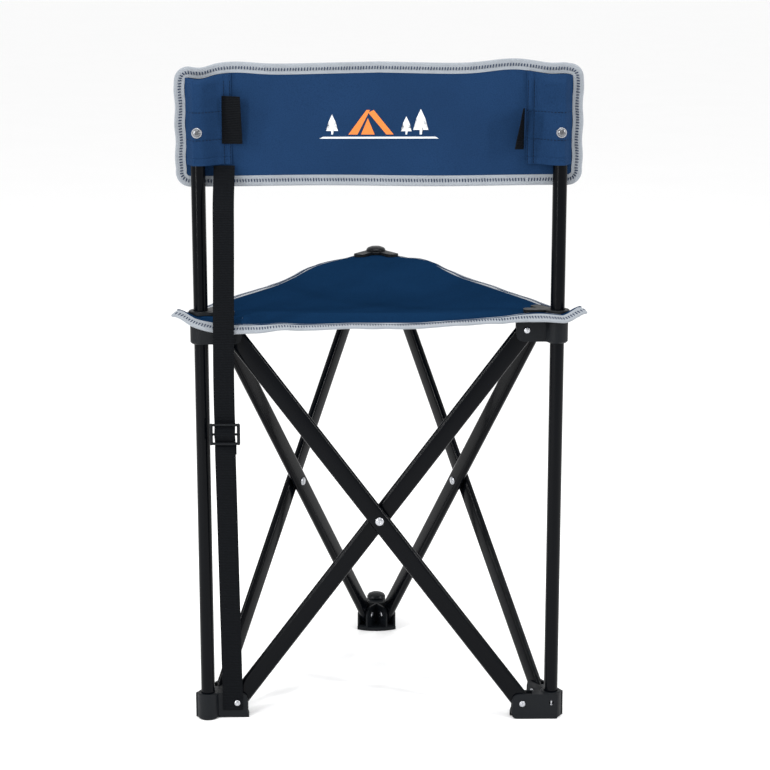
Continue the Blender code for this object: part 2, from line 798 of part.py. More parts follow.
def edge_stations(first, second):
    """(inner point, outer point, drop) along one edge's tape, from tip to tip."""
    gap = 2 * FIT_GAP
    stations = []
    for step in range(TAPE_STATIONS + 1):
        share = TAPE_END_SHARE + (1 - 2 * TAPE_END_SHARE) * step / TAPE_STATIONS
        inner = border_point(first, second, share, EDGE_IN_END + gap, EDGE_IN_MIDDLE + gap)
        outer = border_point(first, second, share, EDGE_OUT_END, EDGE_OUT_MIDDLE)
        drop = EDGE_DROP_END + (EDGE_DROP_MIDDLE - EDGE_DROP_END) * bow(share)
        stations.append((inner, outer, drop))
    tips = []
    for corner, other in ((first, second), (second, first)):
        aside = side_direction(corner, other) * gap
        inner = seat_tip(corner, 2 * EDGE_IN_END + FIT_GAP) + aside
        outer = seat_tip(corner, SEAT_TIP_REACH) + aside
        tips.append((inner, outer, EDGE_DROP_END / 2))
    return [tips[0]] + stations + [tips[1]]


def edge_strip(first, second):
    """Folded tape along one edge of the seat, its outer rim hanging lower."""
    half = FABRIC_THICKNESS * 0.75
    bm = bmesh.new()
    rings = []
    for inner, outer, drop in edge_stations(first, second):
        across = Vector((outer.x - inner.x, outer.y - inner.y, 0))
        flat = across.normalized()
        normal = (UP * across.length + flat * drop).normalized() * half
        near = Vector((inner.x, inner.y, seat_height(inner))) + flat * half
        far = near + across - UP * drop - flat * half
        corners = (near + normal, far + normal, far - normal, near - normal)
        rings.append([bm.verts.new(corner) for corner in corners])
    bridge(bm, rings, closed=True)
    bm.faces.new(rings[0])
    bm.faces.new(rings[-1])
    return bm


# ------------------------------------------------------------------- backrest
def backrest_outline(inset):
    half = BACKREST_HALF_WIDTH - inset
    low = BACKREST_BASE_Z + inset
    high = TOTAL_HEIGHT - inset
    side = high - BACKREST_PEAK
    radius = max(BACKREST_CORNER - inset, 0.003)
    points = [(-half, low), (half, low), (half, side), (0, high), (-half, side)]
    return rounded_outline(points, (radius, radius, radius, 0, radius))


def build_backrest(pivots, fabric, tape, webbing, zinc):
    frame = local_frame(Vector((0, REAR_Y, 0)), Vector((1, 0, 0)), REARWARD)
    root = pivots["left_post"]
    panel = prism(backrest_outline(BINDING_WIDTH + FIT_GAP), PANEL_FRONT, PANEL_BACK, frame)
    add_part("backrest_panel", panel, fabric, root)
    bm = bmesh.new()
    rings = []
    section = (
        (0, BINDING_FRONT),
        (0, BINDING_BACK),
        (BINDING_WIDTH, BINDING_BACK),
        (BINDING_WIDTH, BINDING_FRONT),
    )
    for inset, depth in section:
        outline = backrest_outline(inset)
        rings.append([bm.verts.new(frame @ Vector((a, depth, b))) for a, b in outline])
    bridge(bm, rings + rings[:1], closed=True)
    add_part("backrest_binding", bm, tape, root)
    for corner, outer in (("left", 1), ("right", -1)):
        build_sleeve(corner, outer, fabric, pivots[f"{corner}_post"])
        build_screw(corner, zinc, pivots[f"{corner}_post"])
        build_tab(corner, frame, webbing, pivots[f"{corner}_post"])


def rectangle(half_width, half_height, radius):
    """Outline of a rectangle round the origin with rounded corners."""
    points = [
        (-half_width, -half_height),
        (half_width, -half_height),
        (half_width, half_height),
        (-half_width, half_height),
    ]
    return rounded_outline(points, [radius] * 4)


def build_tab(corner, frame, webbing, pivot):
    """Short loop of webbing sewn into the sleeve's inner seam."""
    size = Vector(TABS[corner]["size"]) / 2
    outline = rectangle(size.x, size.z, min(TAB_CORNER, size.x / 2))
    place = frame @ Matrix.Translation(TABS[corner]["centre"])
    add_part(f"{corner}_webbing_tab", prism(outline, -size.y, size.y, place), webbing, pivot)


def build_sleeve(corner, outer, fabric, pivot):
    """Pocket on the panel's rear that the post's top slides into."""
    flange = PANEL_BACK + FIT_GAP + SLEEVE_THICKNESS / 2
    neck = BINDING_BACK + FIT_GAP + SLEEVE_THICKNESS / 2
    path = [Vector((-SLEEVE_INNER_REACH, flange)), Vector((-SLEEVE_INNER_NECK, neck))]
    for step in range(SLEEVE_STEPS + 1):
        angle = math.radians(90 + SLEEVE_WRAP / 2 - step * SLEEVE_WRAP / SLEEVE_STEPS)
        path.append(Vector((math.cos(angle), math.sin(angle))) * SLEEVE_RADIUS)
    path += [Vector((SLEEVE_OUTER_NECK, neck)), Vector((SLEEVE_OUTER_REACH, flange))]
    outside = []
    inside = []
    for index, point in enumerate(path):
        before = path[max(index - 1, 0)]
        after = path[min(index + 1, len(path) - 1)]
        tangent = (after - before).normalized()
        normal = Vector((-tangent.y, tangent.x)) * SLEEVE_THICKNESS / 2
        outside.append(point + normal)
        inside.append(point - normal)
    base = CORNERS[corner]
    flat = local_frame(base, Vector((outer, 0, 0)), UP, REARWARD)
    solid = prism(outside + inside[::-1], SLEEVE_BASE_Z, SLEEVE_TOP_Z, flat)
    sleeve = add_part(f"{corner}_sleeve", solid, fabric, pivot)
    middle = base + UP * SCREW_Z
    cut(sleeve, rod(middle, middle + REARWARD * THROUGH, SCREW_RADIUS + FIT_GAP, 12))


def build_screw(corner, zinc, pivot):
    """Pan-head screw and washer that hold the sleeve on the post."""
    middle = CORNERS[corner] + UP * SCREW_Z
    frame = local_frame(middle, UP, Vector((1, 0, 0)), REARWARD)
    face = SLEEVE_RADIUS + SLEEVE_THICKNESS / 2 + FIT_GAP
    hole = SCREW_RADIUS + FIT_GAP
    ring = [
        (WASHER_RADIUS, face + WASHER_THICKNESS),
        (WASHER_RADIUS, face),
        (hole, face),
        (hole, face + WASHER_THICKNESS),
    ]
    add_part(f"{corner}_washer", turned_ring(ring, frame, 14), zinc, pivot)
    seat = face + WASHER_THICKNESS + FIT_GAP
    screw = [
        (0, SCREW_RADIUS),
        (SCREW_RADIUS, SCREW_RADIUS * 1.5),
        (SCREW_RADIUS, seat),
        (SCREW_HEAD_RADIUS, seat),
        (SCREW_HEAD_RADIUS, seat + 0.0008),
        (SCREW_HEAD_RADIUS * 0.6, seat + 0.0020),
        (0, seat + 0.0024),
    ]
    add_part(f"{corner}_screw", turned(screw, frame, 12), zinc, pivot)


# ---------------------------------------------------------------- carry strap
def strap_path():
    """(depth behind the rear plane, height) down the strap's middle."""
    front = BUCKLE_DEPTH - BUCKLE_WEAVE
    rear = BUCKLE_DEPTH + BUCKLE_WEAVE
    reach = BUCKLE_HEIGHT / 2
    return [
        (-0.0060, SLEEVE_BASE_Z - 0.0012),
        (-0.0035, 0.6400),
        (0.0060, 0.6280),
        (0.0190, 0.6120),
        (0.0245, 0.5980),
        (STRAP_OUT, 0.5700),
        (STRAP_OUT, 0.5200),
        (STRAP_OUT, 0.4600),
        (0.0235, 0.4100),
        (BUCKLE_DEPTH, BUCKLE_Z + reach + 0.0120),
        (front, BUCKLE_Z + reach - 0.0005),
        (front, BUCKLE_Z + reach - 0.0032),
        (rear, BUCKLE_Z + 0.0014),
        (rear, BUCKLE_Z - 0.0014),
        (front, BUCKLE_Z - reach + 0.0032),
        (front, BUCKLE_Z - reach + 0.0005),
        (BUCKLE_DEPTH, BUCKLE_Z - reach - 0.0120),
        (0.0150, 0.2600),
        (0.0100, 0.1600),
        (0.0055, 0.0700),
        (0.0034, 0.0350),
        (0.0033, 0.0190),
        (0.0033, STRAP_END_Z),
    ]


def strap_middle(depth, height):
    """The strap leans a little, from its top to its foot."""
    top_z = SLEEVE_BASE_Z - 0.0012
    share = (height - STRAP_END_Z) / (top_z - STRAP_END_Z)
    x = STRAP_FOOT_X + (STRAP_TOP_X - STRAP_FOOT_X) * share
    return Vector((x, REAR_Y + depth, height))


def build_strap(pivots, webbing):
    route = [strap_middle(depth, height) for depth, height in strap_path()]
    side = Vector((STRAP_WIDTH / 2, 0, 0))
    bm = bmesh.new()
    rings = []
    for index, middle in enumerate(route):
        before = route[max(index - 1, 0)]
        after = route[min(index + 1, len(route) - 1)]
        tangent = Vector((0, after.y - before.y, after.z - before.z)).normalized()
        normal = Vector((0, -tangent.z, tangent.y)) * STRAP_THICKNESS / 2
        near = (middle - side - normal, middle + side - normal)
        far = (middle + side + normal, middle - side + normal)
        rings.append([bm.verts.new(corner) for corner in near + far])
    bridge(bm, rings, closed=True)
    bm.faces.new(rings[0])
    bm.faces.new(rings[-1])
    strap = add_part("carry_strap", bm, webbing, pivots["left_post"], smooth=False)
    eye = pivot_point("left", "right", LOW_PIVOT_Z, -1)
    cut(strap, rod(eye, eye + REARWARD * THROUGH, RIVET_HOLE_RADIUS, 12))


def build_buckle(pivots, plastic):
    """Flat slider with a bar across its middle and a slot on each side of it."""
    middle = strap_middle(BUCKLE_DEPTH, BUCKLE_Z)
    frame = local_frame(middle, Vector((1, 0, 0)), REARWARD)
    outline = rectangle(BUCKLE_WIDTH / 2, BUCKLE_HEIGHT / 2, BUCKLE_RIM)
    body = prism(outline, -BUCKLE_THICKNESS / 2, BUCKLE_THICKNESS / 2, frame)
    buckle = add_part("strap_buckle", body, plastic, pivots["left_post"])
    slot_x = STRAP_WIDTH / 2 + BUCKLE_BAR
    slot_end = BUCKLE_HEIGHT / 2 - BUCKLE_RIM
    for low, high in ((-slot_end, -BUCKLE_BAR), (BUCKLE_BAR, slot_end)):
        cut(buckle, box((-slot_x, -THROUGH, low), (slot_x, THROUGH, high), frame))


# ----------------------------------------------------------------------- build
def make_pivots():
    """An empty on the axis of the joint that carries each body."""
    places = {"left_post": CORNERS["left"]}
    for side in SIDES:
        (first_bar, foot, hub, layer), (second_bar, *_) = side_bars(side)
        low = pivot_point(foot, hub, LOW_PIVOT_Z, layer)
        high = pivot_point(hub, foot, HIGH_PIVOT_Z, layer)
        places[first_bar] = low
        places[second_bar] = (low + high) / 2
    places["right_post"] = pivot_point("right", "left", LOW_PIVOT_Z, 1)
    places["left_hub"] = pivot_point("left", "right", HIGH_PIVOT_Z, 1)
    places["right_hub"] = pivot_point("right", "left", HIGH_PIVOT_Z, -1)
    places["front_hub"] = pivot_point("front", "left", HIGH_PIVOT_Z, 1)
    places["front_foot"] = pivot_point("front", "left", LOW_PIVOT_Z, -1)
    for side, (first, second, _) in SIDES.items():
        inward = -outward(first, second)
        places[f"seat_{side}_edge"] = CORNERS[first] + inward * EDGE_IN_END + UP * SEAT_Z
    return {name: make_pivot(f"pivot_{name}", place) for name, place in places.items()}


def main():
    clear_scene()
    steel = make_material("powder_coated_steel", (0.012, 0.013, 0.016), 0.38, 0.3)
    plastic = make_material("moulded_plastic", (0.016, 0.018, 0.022), 0.45)
    zinc = make_material("zinc_plated_steel", (0.70, 0.71, 0.73), 0.30, 1.0)
    fabric = make_material("navy_fabric", (0.016, 0.042, 0.110), 0.85)
    tape = make_material("grey_binding_tape", (0.48, 0.50, 0.53), 0.80)
    webbing = make_material("black_webbing", (0.014, 0.015, 0.018), 0.80)
    pivots = make_pivots()
    build_posts(pivots, steel, plastic)
    build_bars(pivots, steel)
    build_feet(pivots, plastic)
    build_hubs(pivots, plastic)
    build_pivot_rivets(pivots, zinc)
    build_centre_rivets(pivots, zinc, plastic)
    build_post_rivets(pivots, zinc)
    build_seat(pivots, fabric, tape)
    build_backrest(pivots, fabric, tape, webbing, zinc)
    build_strap(pivots, webbing)
    build_buckle(pivots, plastic)
    bpy.context.view_layer.update()


main()
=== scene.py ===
"""Looks of the folding camp stool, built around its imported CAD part.

Hard parts get finer pieces in the places of their CAD nodes. The seat, the backrest, their
bindings and the strap are built as cloth. All lengths are in metres.
"""

import json
import math
import random

import bmesh
import bpy
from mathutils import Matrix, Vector, noise

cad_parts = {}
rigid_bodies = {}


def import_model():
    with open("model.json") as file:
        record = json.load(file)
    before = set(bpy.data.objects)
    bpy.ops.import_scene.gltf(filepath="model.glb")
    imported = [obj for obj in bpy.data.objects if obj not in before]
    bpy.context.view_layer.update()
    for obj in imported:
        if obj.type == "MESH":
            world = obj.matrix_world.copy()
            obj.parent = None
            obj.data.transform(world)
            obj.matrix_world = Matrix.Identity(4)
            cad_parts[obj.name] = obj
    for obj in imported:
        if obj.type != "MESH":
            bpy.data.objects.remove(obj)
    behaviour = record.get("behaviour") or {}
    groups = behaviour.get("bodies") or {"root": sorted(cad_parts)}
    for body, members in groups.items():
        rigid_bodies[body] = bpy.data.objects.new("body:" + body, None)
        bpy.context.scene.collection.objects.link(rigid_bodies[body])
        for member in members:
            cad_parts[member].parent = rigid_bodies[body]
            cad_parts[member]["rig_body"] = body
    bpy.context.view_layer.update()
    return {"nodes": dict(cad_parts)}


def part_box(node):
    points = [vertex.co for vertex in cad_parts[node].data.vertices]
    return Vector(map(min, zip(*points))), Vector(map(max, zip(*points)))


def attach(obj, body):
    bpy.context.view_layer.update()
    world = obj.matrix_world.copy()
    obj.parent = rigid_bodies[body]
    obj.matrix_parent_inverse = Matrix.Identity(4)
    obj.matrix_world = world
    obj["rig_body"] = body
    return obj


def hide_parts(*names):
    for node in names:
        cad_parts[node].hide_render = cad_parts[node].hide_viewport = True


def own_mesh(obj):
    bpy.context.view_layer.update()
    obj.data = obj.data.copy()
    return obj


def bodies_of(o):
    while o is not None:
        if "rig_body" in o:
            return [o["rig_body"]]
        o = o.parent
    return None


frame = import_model()
RANDOM = random.Random(7)
UP = Vector((0, 0, 1))
REARWARD = Vector((0, 1, 0))
SIDEWAYS = Vector((1, 0, 0))


# ------------------------------------------------------------------ sizes from the frame
def middle_of(node):
    low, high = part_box(node)
    return (low + high) / 2


def size_of(node):
    low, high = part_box(node)
    return high - low


def plan(point):
    return Vector((point.x, point.y, 0))


CORNERS = {
    "left": plan(middle_of("left_post")),
    "right": plan(middle_of("right_post")),
    "front": plan(middle_of("front_foot_plug")),
}
SIDES = {"rear": ("left", "right"), "left": ("left", "front"), "right": ("right", "front")}
CENTRE = (CORNERS["left"] + CORNERS["right"] + CORNERS["front"]) / 3
SPACING = (CORNERS["left"] - CORNERS["right"]).length
TRIANGLE_DEPTH = SPACING * math.sqrt(3) / 2
REAR_Y = CORNERS["left"].y

POST_RADIUS = size_of("left_post").x / 2
POST_WALL = 0.0012
BAR_THICKNESS = size_of("rear_inner_bar").y
BAR_WIDTH = 0.022
RIVET_HEAD = (0.0036, 0.0013)  # radius and height
CENTRE_RIVET_HEAD = (0.0050, 0.0016)  # radius and height

# Seat
SEAT_CLOTH = 0.0016
SEAT_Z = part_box("left_clamp_plate")[0].z - 0.0013
FRONT_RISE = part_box("front_clamp_plate")[0].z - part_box("left_clamp_plate")[0].z
FLAT_SHARE = 0.14
HINGE_INSET = 0.014
PATCH_END = 0.0465
SPAN = SPACING - 2 * PATCH_END
# How far the cloth's edge and the tape's edges stand outside the corners' line: ends, middle.
CLOTH_OUT = {"rear": (0.0168, 0.0035), "left": (0.0155, 0.0035), "right": (0.0155, 0.0035)}
TAPE_IN = {"rear": (0.0150, 0.0005), "left": (0.0120, 0.0005), "right": (0.0120, 0.0005)}
TAPE_OUT = (0.0220, 0.0120)
CLOTH_TIP = 0.0290
TAPE_INNER_TIP = 0.0270
TAPE_OUTER_TIP = 0.0360
TIP_DROP = 0.0060
TIP_LIFT = {"left": 0.0080, "right": 0.0105, "front": 0.0010}
CENTRE_SAG = 0.010
FOLD_HEIGHT = 0.0011
TAPE_HALF = 0.0015
CORNER_TAPE = 0.15
# Share of its length that stays when the stool is folded: an edge between its hubs, a gore.
FOLDED_SHARE = 0.0274
FOLDED_GORE = 0.1506
HOLE_RADIUS = POST_RADIUS + 0.001

# Backrest
BACK_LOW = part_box("backrest_binding")[0].z
BACK_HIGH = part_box("backrest_binding")[1].z
BACK_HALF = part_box("backrest_binding")[1].x
BACK_PEAK = 0.005
BACK_CORNER = 0.016
BACK_TAPE = 0.0120
BACK_COVER = 0.0100
BACK_END_TAPE = 0.25
BACK_DEPTH = middle_of("backrest_panel").y - REAR_Y
BACK_CLOTH = 0.0016
BACK_SPLIT = 0.165
FOLDED_BACK = 0.0951  # share of its length that the middle section keeps when folded
BACK_SQUASH = {"axis": SIDEWAYS, "anchor": (BACK_SPLIT, 0, 0), "keep": FOLDED_BACK}

# Sleeves: places across them run outward from the post's axis.
SLEEVE_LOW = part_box("left_sleeve")[0].z
SLEEVE_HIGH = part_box("left_sleeve")[1].z
SLEEVE_INNER = -0.0372
SLEEVE_OUTER = 0.0131
SLEEVE_CLOTH = 0.0014
SLEEVE_TOP_DEPTH = POST_RADIUS + 0.0012
SLEEVE_FLANGE = -0.0085
SLEEVE_HEM = SLEEVE_LOW + 0.0075
SCREW_Z = middle_of("left_screw").z
CAP_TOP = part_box("left_post_cap")[1].z
SEAM_PITCH = 0.0034
SEAM_STITCH = 0.0030
SLEEVE_SEAMS = (-0.0290, -0.0358)
CROSS_SEAMS = (SCREW_Z + 0.0220, SCREW_Z - 0.0085)

# Stitches of the tapes
STITCH_PITCH = 0.0031
STITCH_LENGTH = 0.0040
STITCH_WIDTH = 0.0014
STITCH_HEIGHT = 0.0005

# Cloth and webbing
WEAVE_PITCH = 0.00065
STRAP_WIDTH = 0.0235
STRAP_SWAY = 0.0055
TAIL_WIDTH = 0.0230
RIGHT_TAB_WIDTH = 0.0150
BUCKLE = middle_of("strap_buckle")
BUCKLE_HALF = size_of("strap_buckle") / 2
BUCKLE_WEAVE = 0.0032

# Stage: name, place, target, size and power of each light
LIGHTS = (
    ("overhead", (0.0, 0.5, 2.4), (0, 0, 0.4), (1.4, 1.0), 22),
    ("left_strip", (1.30, 2.0, 1.1), (0, 0.1, 0.45), (0.08, 1.8), 24),
    ("right_strip", (-1.9, 1.0, 1.30), (0, 0.1, 0.3), (0.12, 1.2), 26),
    ("left_high_strip", (1.9, 1.0, 1.30), (0, 0.1, 0.3), (0.12, 1.2), 22),
)
FLOOR_HALF = 60.0
SKY_STRENGTH = 1.02
LENS = 96.5
CAMERA_PLACE = (0.0293, REAR_Y + 2.277, 0.9003)
CAMERA_TILT = math.radians(12.46)
CAMERA_YAW = math.radians(0.896)


def smooth(value):
    value = min(max(value, 0.0), 1.0)
    return value * value * (3 - 2 * value)


def mix(first, second, share):
    return first + (second - first) * share


def bump(x, centre, width):
    return math.exp(-(((x - centre) / width) ** 2))


def circle(centre, first, second, count):
    """Points of an ellipse with the two vectors as half axes."""
    angles = [2 * math.pi * step / count for step in range(count)]
    return [centre + first * math.cos(angle) + second * math.sin(angle) for angle in angles]


def grid(steps, columns, point_at):
    """Rows of points from a function of two shares, each 0 to 1."""
    shares = [column / columns for column in range(columns + 1)]
    return [[point_at(step / steps, share) for share in shares] for step in range(steps + 1)]


def slope_normal(height, point, first, second, step):
    """Normal of a surface that stands at a height over the plane of two axes."""
    normal = first.cross(second) * 2 * step
    for axis in (first, second):
        normal -= axis * (height(point + axis * step) - height(point - axis * step))
    return normal.normalized()


def length_of(points):
    return sum((after - before).length for before, after in zip(points, points[1:]))


# ------------------------------------------------------------------------ mesh helpers
def new_object(name, bm, material, angle=40):
    bmesh.ops.recalc_face_normals(bm, faces=bm.faces)
    mesh = bpy.data.meshes.new(name)
    bm.to_mesh(mesh)
    bm.free()
    mesh.shade_smooth()
    if angle:
        mesh.set_sharp_from_angle(angle=math.radians(angle))
    mesh.materials.append(material)
    obj = bpy.data.objects.new(name, mesh)
    bpy.context.scene.collection.objects.link(obj)
    return obj


def apply_modifiers(obj):
    bpy.context.view_layer.update()
    graph = bpy.context.evaluated_depsgraph_get()
    mesh = bpy.data.meshes.new_from_object(obj.evaluated_get(graph))
    obj.modifiers.clear()
    obj.data = mesh


def carve(obj, tool, crossing=False):
    """Cuts the tool's shape out of a piece; crossing says that the tool's solids cross."""
    cut = obj.modifiers.new("cut", "BOOLEAN")
    cut.object = tool
    cut.use_self = crossing
    apply_modifiers(obj)
    bpy.data.objects.remove(tool)


def place(obj, body, *nodes, slot, squash=None):
    """Rides a piece on a body and hides the CAD nodes that it stands for; its slot is not used."""
    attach(obj, body)
    if squash:
        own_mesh(obj)
    if nodes:
        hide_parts(*nodes)


def one_face(obj):
    """Area of one face of a thin piece: half its whole surface."""
    return sum(face.area for face in obj.data.polygons) / 2


def turned(name, profile, origin, axis, sides, material):
    """A solid of revolution; the profile is (radius, height along the axis)."""
    bm = bmesh.new()
    axis = axis.normalized()
    side = axis.orthogonal().normalized()
    across = axis.cross(side)
    rings = []
    for radius, height in profile:
        centre = origin + axis * height
        ring = circle(centre, side * radius, across * radius, sides) if radius else [centre]
        rings.append([bm.verts.new(point) for point in ring])
    for low, high in zip(rings, rings[1:]):
        for step in range(sides):
            after = (step + 1) % sides
            corners = [low[step % len(low)], low[after % len(low)]]
            corners += [high[after % len(high)], high[step % len(high)]]
            corners = list(dict.fromkeys(corners))
            if len(corners) > 2:
                bm.faces.new(corners)
    if len(rings[0]) > 1 and profile[0] == profile[-1]:
        bmesh.ops.remove_doubles(bm, verts=rings[0] + rings[-1], dist=1e-7)
    return new_object(name, bm, material)


def ring_profile(inner, outer, low, high, rim):
    """Profile of a ring, or of a disc when inner is 0, with chamfered outer rims."""
    profile = [(inner, low), (outer - rim, low), (outer, low + rim), (outer, high - rim)]
    profile += [(outer - rim, high), (inner, high)]
    return profile + profile[:1] if inner else profile


def bridge(bm, rings, closed=True):
    for low, high in zip(rings, rings[1:]):
        count = len(low)
        for step in range(count if closed else count - 1):
            after = (step + 1) % count
            bm.faces.new((low[step], low[after], high[after], high[step]))


def swept(bm, rings, uvs=None):
    """Adds a closed solid through rings of points and caps its two ends."""
    made = [[bm.verts.new(point) for point in ring] for ring in rings]
    bridge(bm, made)
    bm.faces.new(made[0])
    bm.faces.new(made[-1][::-1])
    if uvs:
        layer = bm.loops.layers.uv.verify()
        places = {}
        for ring, row in zip(made, uvs):
            places.update(zip(ring, row))
        for face in bm.faces:
            for loop in face.loops:
                if loop.vert in places:
                    loop[layer].uv = places[loop.vert]


def set_normals(obj, facing):
    """Shades the two sides of a shell by the surface they follow, so neighbours join unseen."""
    mesh = obj.data
    mesh.shade_smooth()
    normals = [None] * len(mesh.loops)
    at_vertex = [facing(vertex.co) for vertex in mesh.vertices]
    for face in mesh.polygons:
        normal = face.normal.copy()
        for loop in face.loop_indices:
            along = at_vertex[mesh.loops[loop].vertex_index]
            share = normal.dot(along)
            if share > 0.6:
                normals[loop] = along
            elif share < -0.6:
                normals[loop] = -along
            else:
                normals[loop] = normal
    mesh.normals_split_custom_set(normals)


def rim_of(rows):
    """A grid's outer vertices in their order round it."""
    rim = rows[0] + [row[-1] for row in rows[1:]]
    return rim + rows[-1][-2::-1] + [row[0] for row in rows[-2:0:-1]]


def shell(name, rows, thickness, facing, material):
    """Closed shell of a cloth's thickness round a grid of points."""
    bm = bmesh.new()
    top = []
    bottom = []
    for row in rows:
        lift = [facing(point) * thickness / 2 for point in row]
        top.append([bm.verts.new(point + up) for point, up in zip(row, lift)])
        bottom.append([bm.verts.new(point - up) for point, up in zip(row, lift)])
    bridge(bm, top, closed=False)
    bridge(bm, [row[::-1] for row in bottom], closed=False)
    bridge(bm, [rim_of(top), rim_of(bottom)])
    obj = new_object(name, bm, material, angle=0)
    set_normals(obj, facing)
    return obj


# --------------------------------------------------------------------------- materials
def rgba(red, green, blue):
    return (red, green, blue, 1.0)


def shade(colour, level):
    """A colour with its red, green and blue scaled by a level."""
    return rgba(*[part * level for part in colour[:3]])


class Shader:
    """A material's node tree with a Principled shader, built from small helpers."""

    def __init__(self, name, roughness=0.5, metallic=0.0, sheen=0.0, specular=0.5):
        self.material = bpy.data.materials.new(name)
        self.material.use_nodes = True
        self.tree = self.material.node_tree
        self.surface = self.tree.nodes["Principled BSDF"]
        values = {"Roughness": roughness, "Metallic": metallic, "Sheen Weight": sheen}
        values.update({"Sheen Roughness": 0.5, "Specular IOR Level": specular})
        for key, value in values.items():
            self.surface.inputs[key].default_value = value
        self.coordinates = self.tree.nodes.new("ShaderNodeTexCoord")

    def node(self, kind, inputs, **settings):
        made = self.tree.nodes.new(kind)
        for key, value in settings.items():
            setattr(made, key, value)
        for key, value in inputs.items():
            if isinstance(value, bpy.types.NodeSocket):
                self.tree.links.new(value, made.inputs[key])
            else:
                made.inputs[key].default_value = value
        return made

    def math(self, operation, first, second=0.0):
        return self.node("ShaderNodeMath", {0: first, 1: second}, operation=operation).outputs[0]

    def noise(self, scale, detail=3.0, roughness=0.55):
        values = {"Vector": self.coordinates.outputs["Object"], "Scale": scale}
        values.update({"Detail": detail, "Roughness": roughness})
        return self.node("ShaderNodeTexNoise", values).outputs["Fac"]

    def span(self, value, low, high, new_low, new_high):
        values = {"Value": value, 1: low, 2: high, 3: new_low, 4: new_high}
        return self.node("ShaderNodeMapRange", values).outputs["Result"]

    def blend(self, factor, first, second):
        inputs = {0: factor, 6: first, 7: second}
        return self.node("ShaderNodeMix", inputs, data_type="RGBA").outputs[2]

    def colour(self, socket):
        self.tree.links.new(socket, self.surface.inputs["Base Color"])

    def rough(self, socket):
        self.tree.links.new(socket, self.surface.inputs["Roughness"])

    def relief(self, height, distance, strength=1.0):
        values = {"Height": height, "Distance": distance, "Strength": strength}
        made = self.node("ShaderNodeBump", values)
        last = self.surface.inputs["Normal"]
        if last.is_linked:
            self.tree.links.new(last.links[0].from_socket, made.inputs["Normal"])
        self.tree.links.new(made.outputs["Normal"], last)

    def parts(self, source):
        """The three axes of a coordinate."""
        return self.node("ShaderNodeSeparateXYZ", {0: self.coordinates.outputs[source]}).outputs

    def wave(self, value, pitch):
        return self.math("SINE", self.math("MULTIPLY", value, 2 * math.pi / pitch))

    def weave(self, first, first_pitch, second, second_pitch):
        """Height of a plain weave along two axes, 0 to 1."""
        waves = self.wave(first, first_pitch), self.wave(second, second_pitch)
        return self.math("MULTIPLY_ADD", self.math("MULTIPLY", *waves), 0.5)


def steel_material():
    shader = Shader("powder_coated_steel", roughness=0.22, specular=0.08)
    dark = rgba(0.0006, 0.0009, 0.0016)
    light = rgba(0.0011, 0.0016, 0.0026)
    shader.colour(shader.blend(shader.noise(14.0, 4.0), dark, light))
    shader.rough(shader.span(shader.noise(90.0, 5.0, 0.7), 0.35, 0.75, 0.16, 0.26))
    shader.relief(shader.noise(900.0, 2.0), 0.00003, 0.6)
    return shader.material


def plastic_material(name, level, low, high):
    """Moulded black plastic; low and high are its roughness between patches."""
    shader = Shader(name, roughness=0.45, specular=0.13)
    dark = shade((0.7, 0.9, 1.2), level)
    light = shade((1.0, 1.3, 1.7), level)
    shader.colour(shader.blend(shader.noise(30.0, 4.0), dark, light))
    shader.rough(shader.span(shader.noise(160.0, 4.0), 0.3, 0.7, low, high))
    shader.relief(shader.noise(2600.0, 2.0, 0.7), 0.00005, 0.7)
    return shader.material


def metal_material(name, level):
    shader = Shader(name, roughness=0.28, metallic=1.0)
    patches = shader.noise(700.0, 3.0)
    dark = shade((0.8, 0.82, 0.87), level)
    light = shade((1.2, 1.23, 1.3), level)
    shader.colour(shader.blend(patches, dark, light))
    shader.rough(shader.span(patches, 0.3, 0.7, 0.20, 0.38))
    shader.relief(shader.noise(2200.0, 2.0), 0.00002, 0.5)
    return shader.material


def cloth_material(name, dark, light, axes, specular):
    """Woven cloth; axes are the two object axes that its threads follow."""
    shader = Shader(name, roughness=0.82, specular=specular)
    parts = shader.parts("Object")
    weave = shader.weave(parts[axes[0]], WEAVE_PITCH, parts[axes[1]], WEAVE_PITCH * 0.9)
    fade = shader.noise(11.0, 4.0)
    speck = shader.noise(750.0, 3.0, 0.7)
    base = shader.blend(shader.span(weave, -0.5, 0.5, 0.0, 1.0), dark, light)
    base = shader.blend(shader.span(fade, 0.35, 0.7, 0.0, 0.28), base, shade(light, 1.5))
    base = shader.blend(shader.span(speck, 0.45, 0.8, 0.0, 0.5), base, shade(dark, 0.5))
    shader.colour(base)
    shader.rough(shader.span(speck, 0.3, 0.7, 0.74, 0.92))
    shader.relief(shader.noise(60.0, 3.0), 0.0006, 0.35)
    shader.relief(weave, 0.00012, 0.7)
    return shader.material


def tape_material(name, level):
    """Grey twill tape: fine slanted ribs, fuzz and a little grime."""
    shader = Shader(name, roughness=0.85, sheen=0.3, specular=0.2)
    parts = shader.parts("UV")
    ribs = shader.wave(shader.math("ADD", parts["X"], parts["Y"]), 0.0011)
    fuzz = shader.noise(1100.0, 4.0, 0.7)
    grime = shader.noise(42.0, 5.0, 0.6)
    cool = shade((0.90, 0.98, 1.08), level)
    base = shader.blend(shader.span(ribs, -1, 1, 0, 1), shade(cool, 0.80), cool)
    base = shader.blend(shader.span(fuzz, 0.45, 0.75, 0.0, 0.45), base, shade(cool, 0.62))
    base = shader.blend(shader.span(grime, 0.48, 0.75, 0.0, 0.35), base, shade(cool, 0.55))
    shader.colour(base)
    shader.relief(fuzz, 0.0002, 0.4)
    shader.relief(ribs, 0.0001, 0.5)
    return shader.material


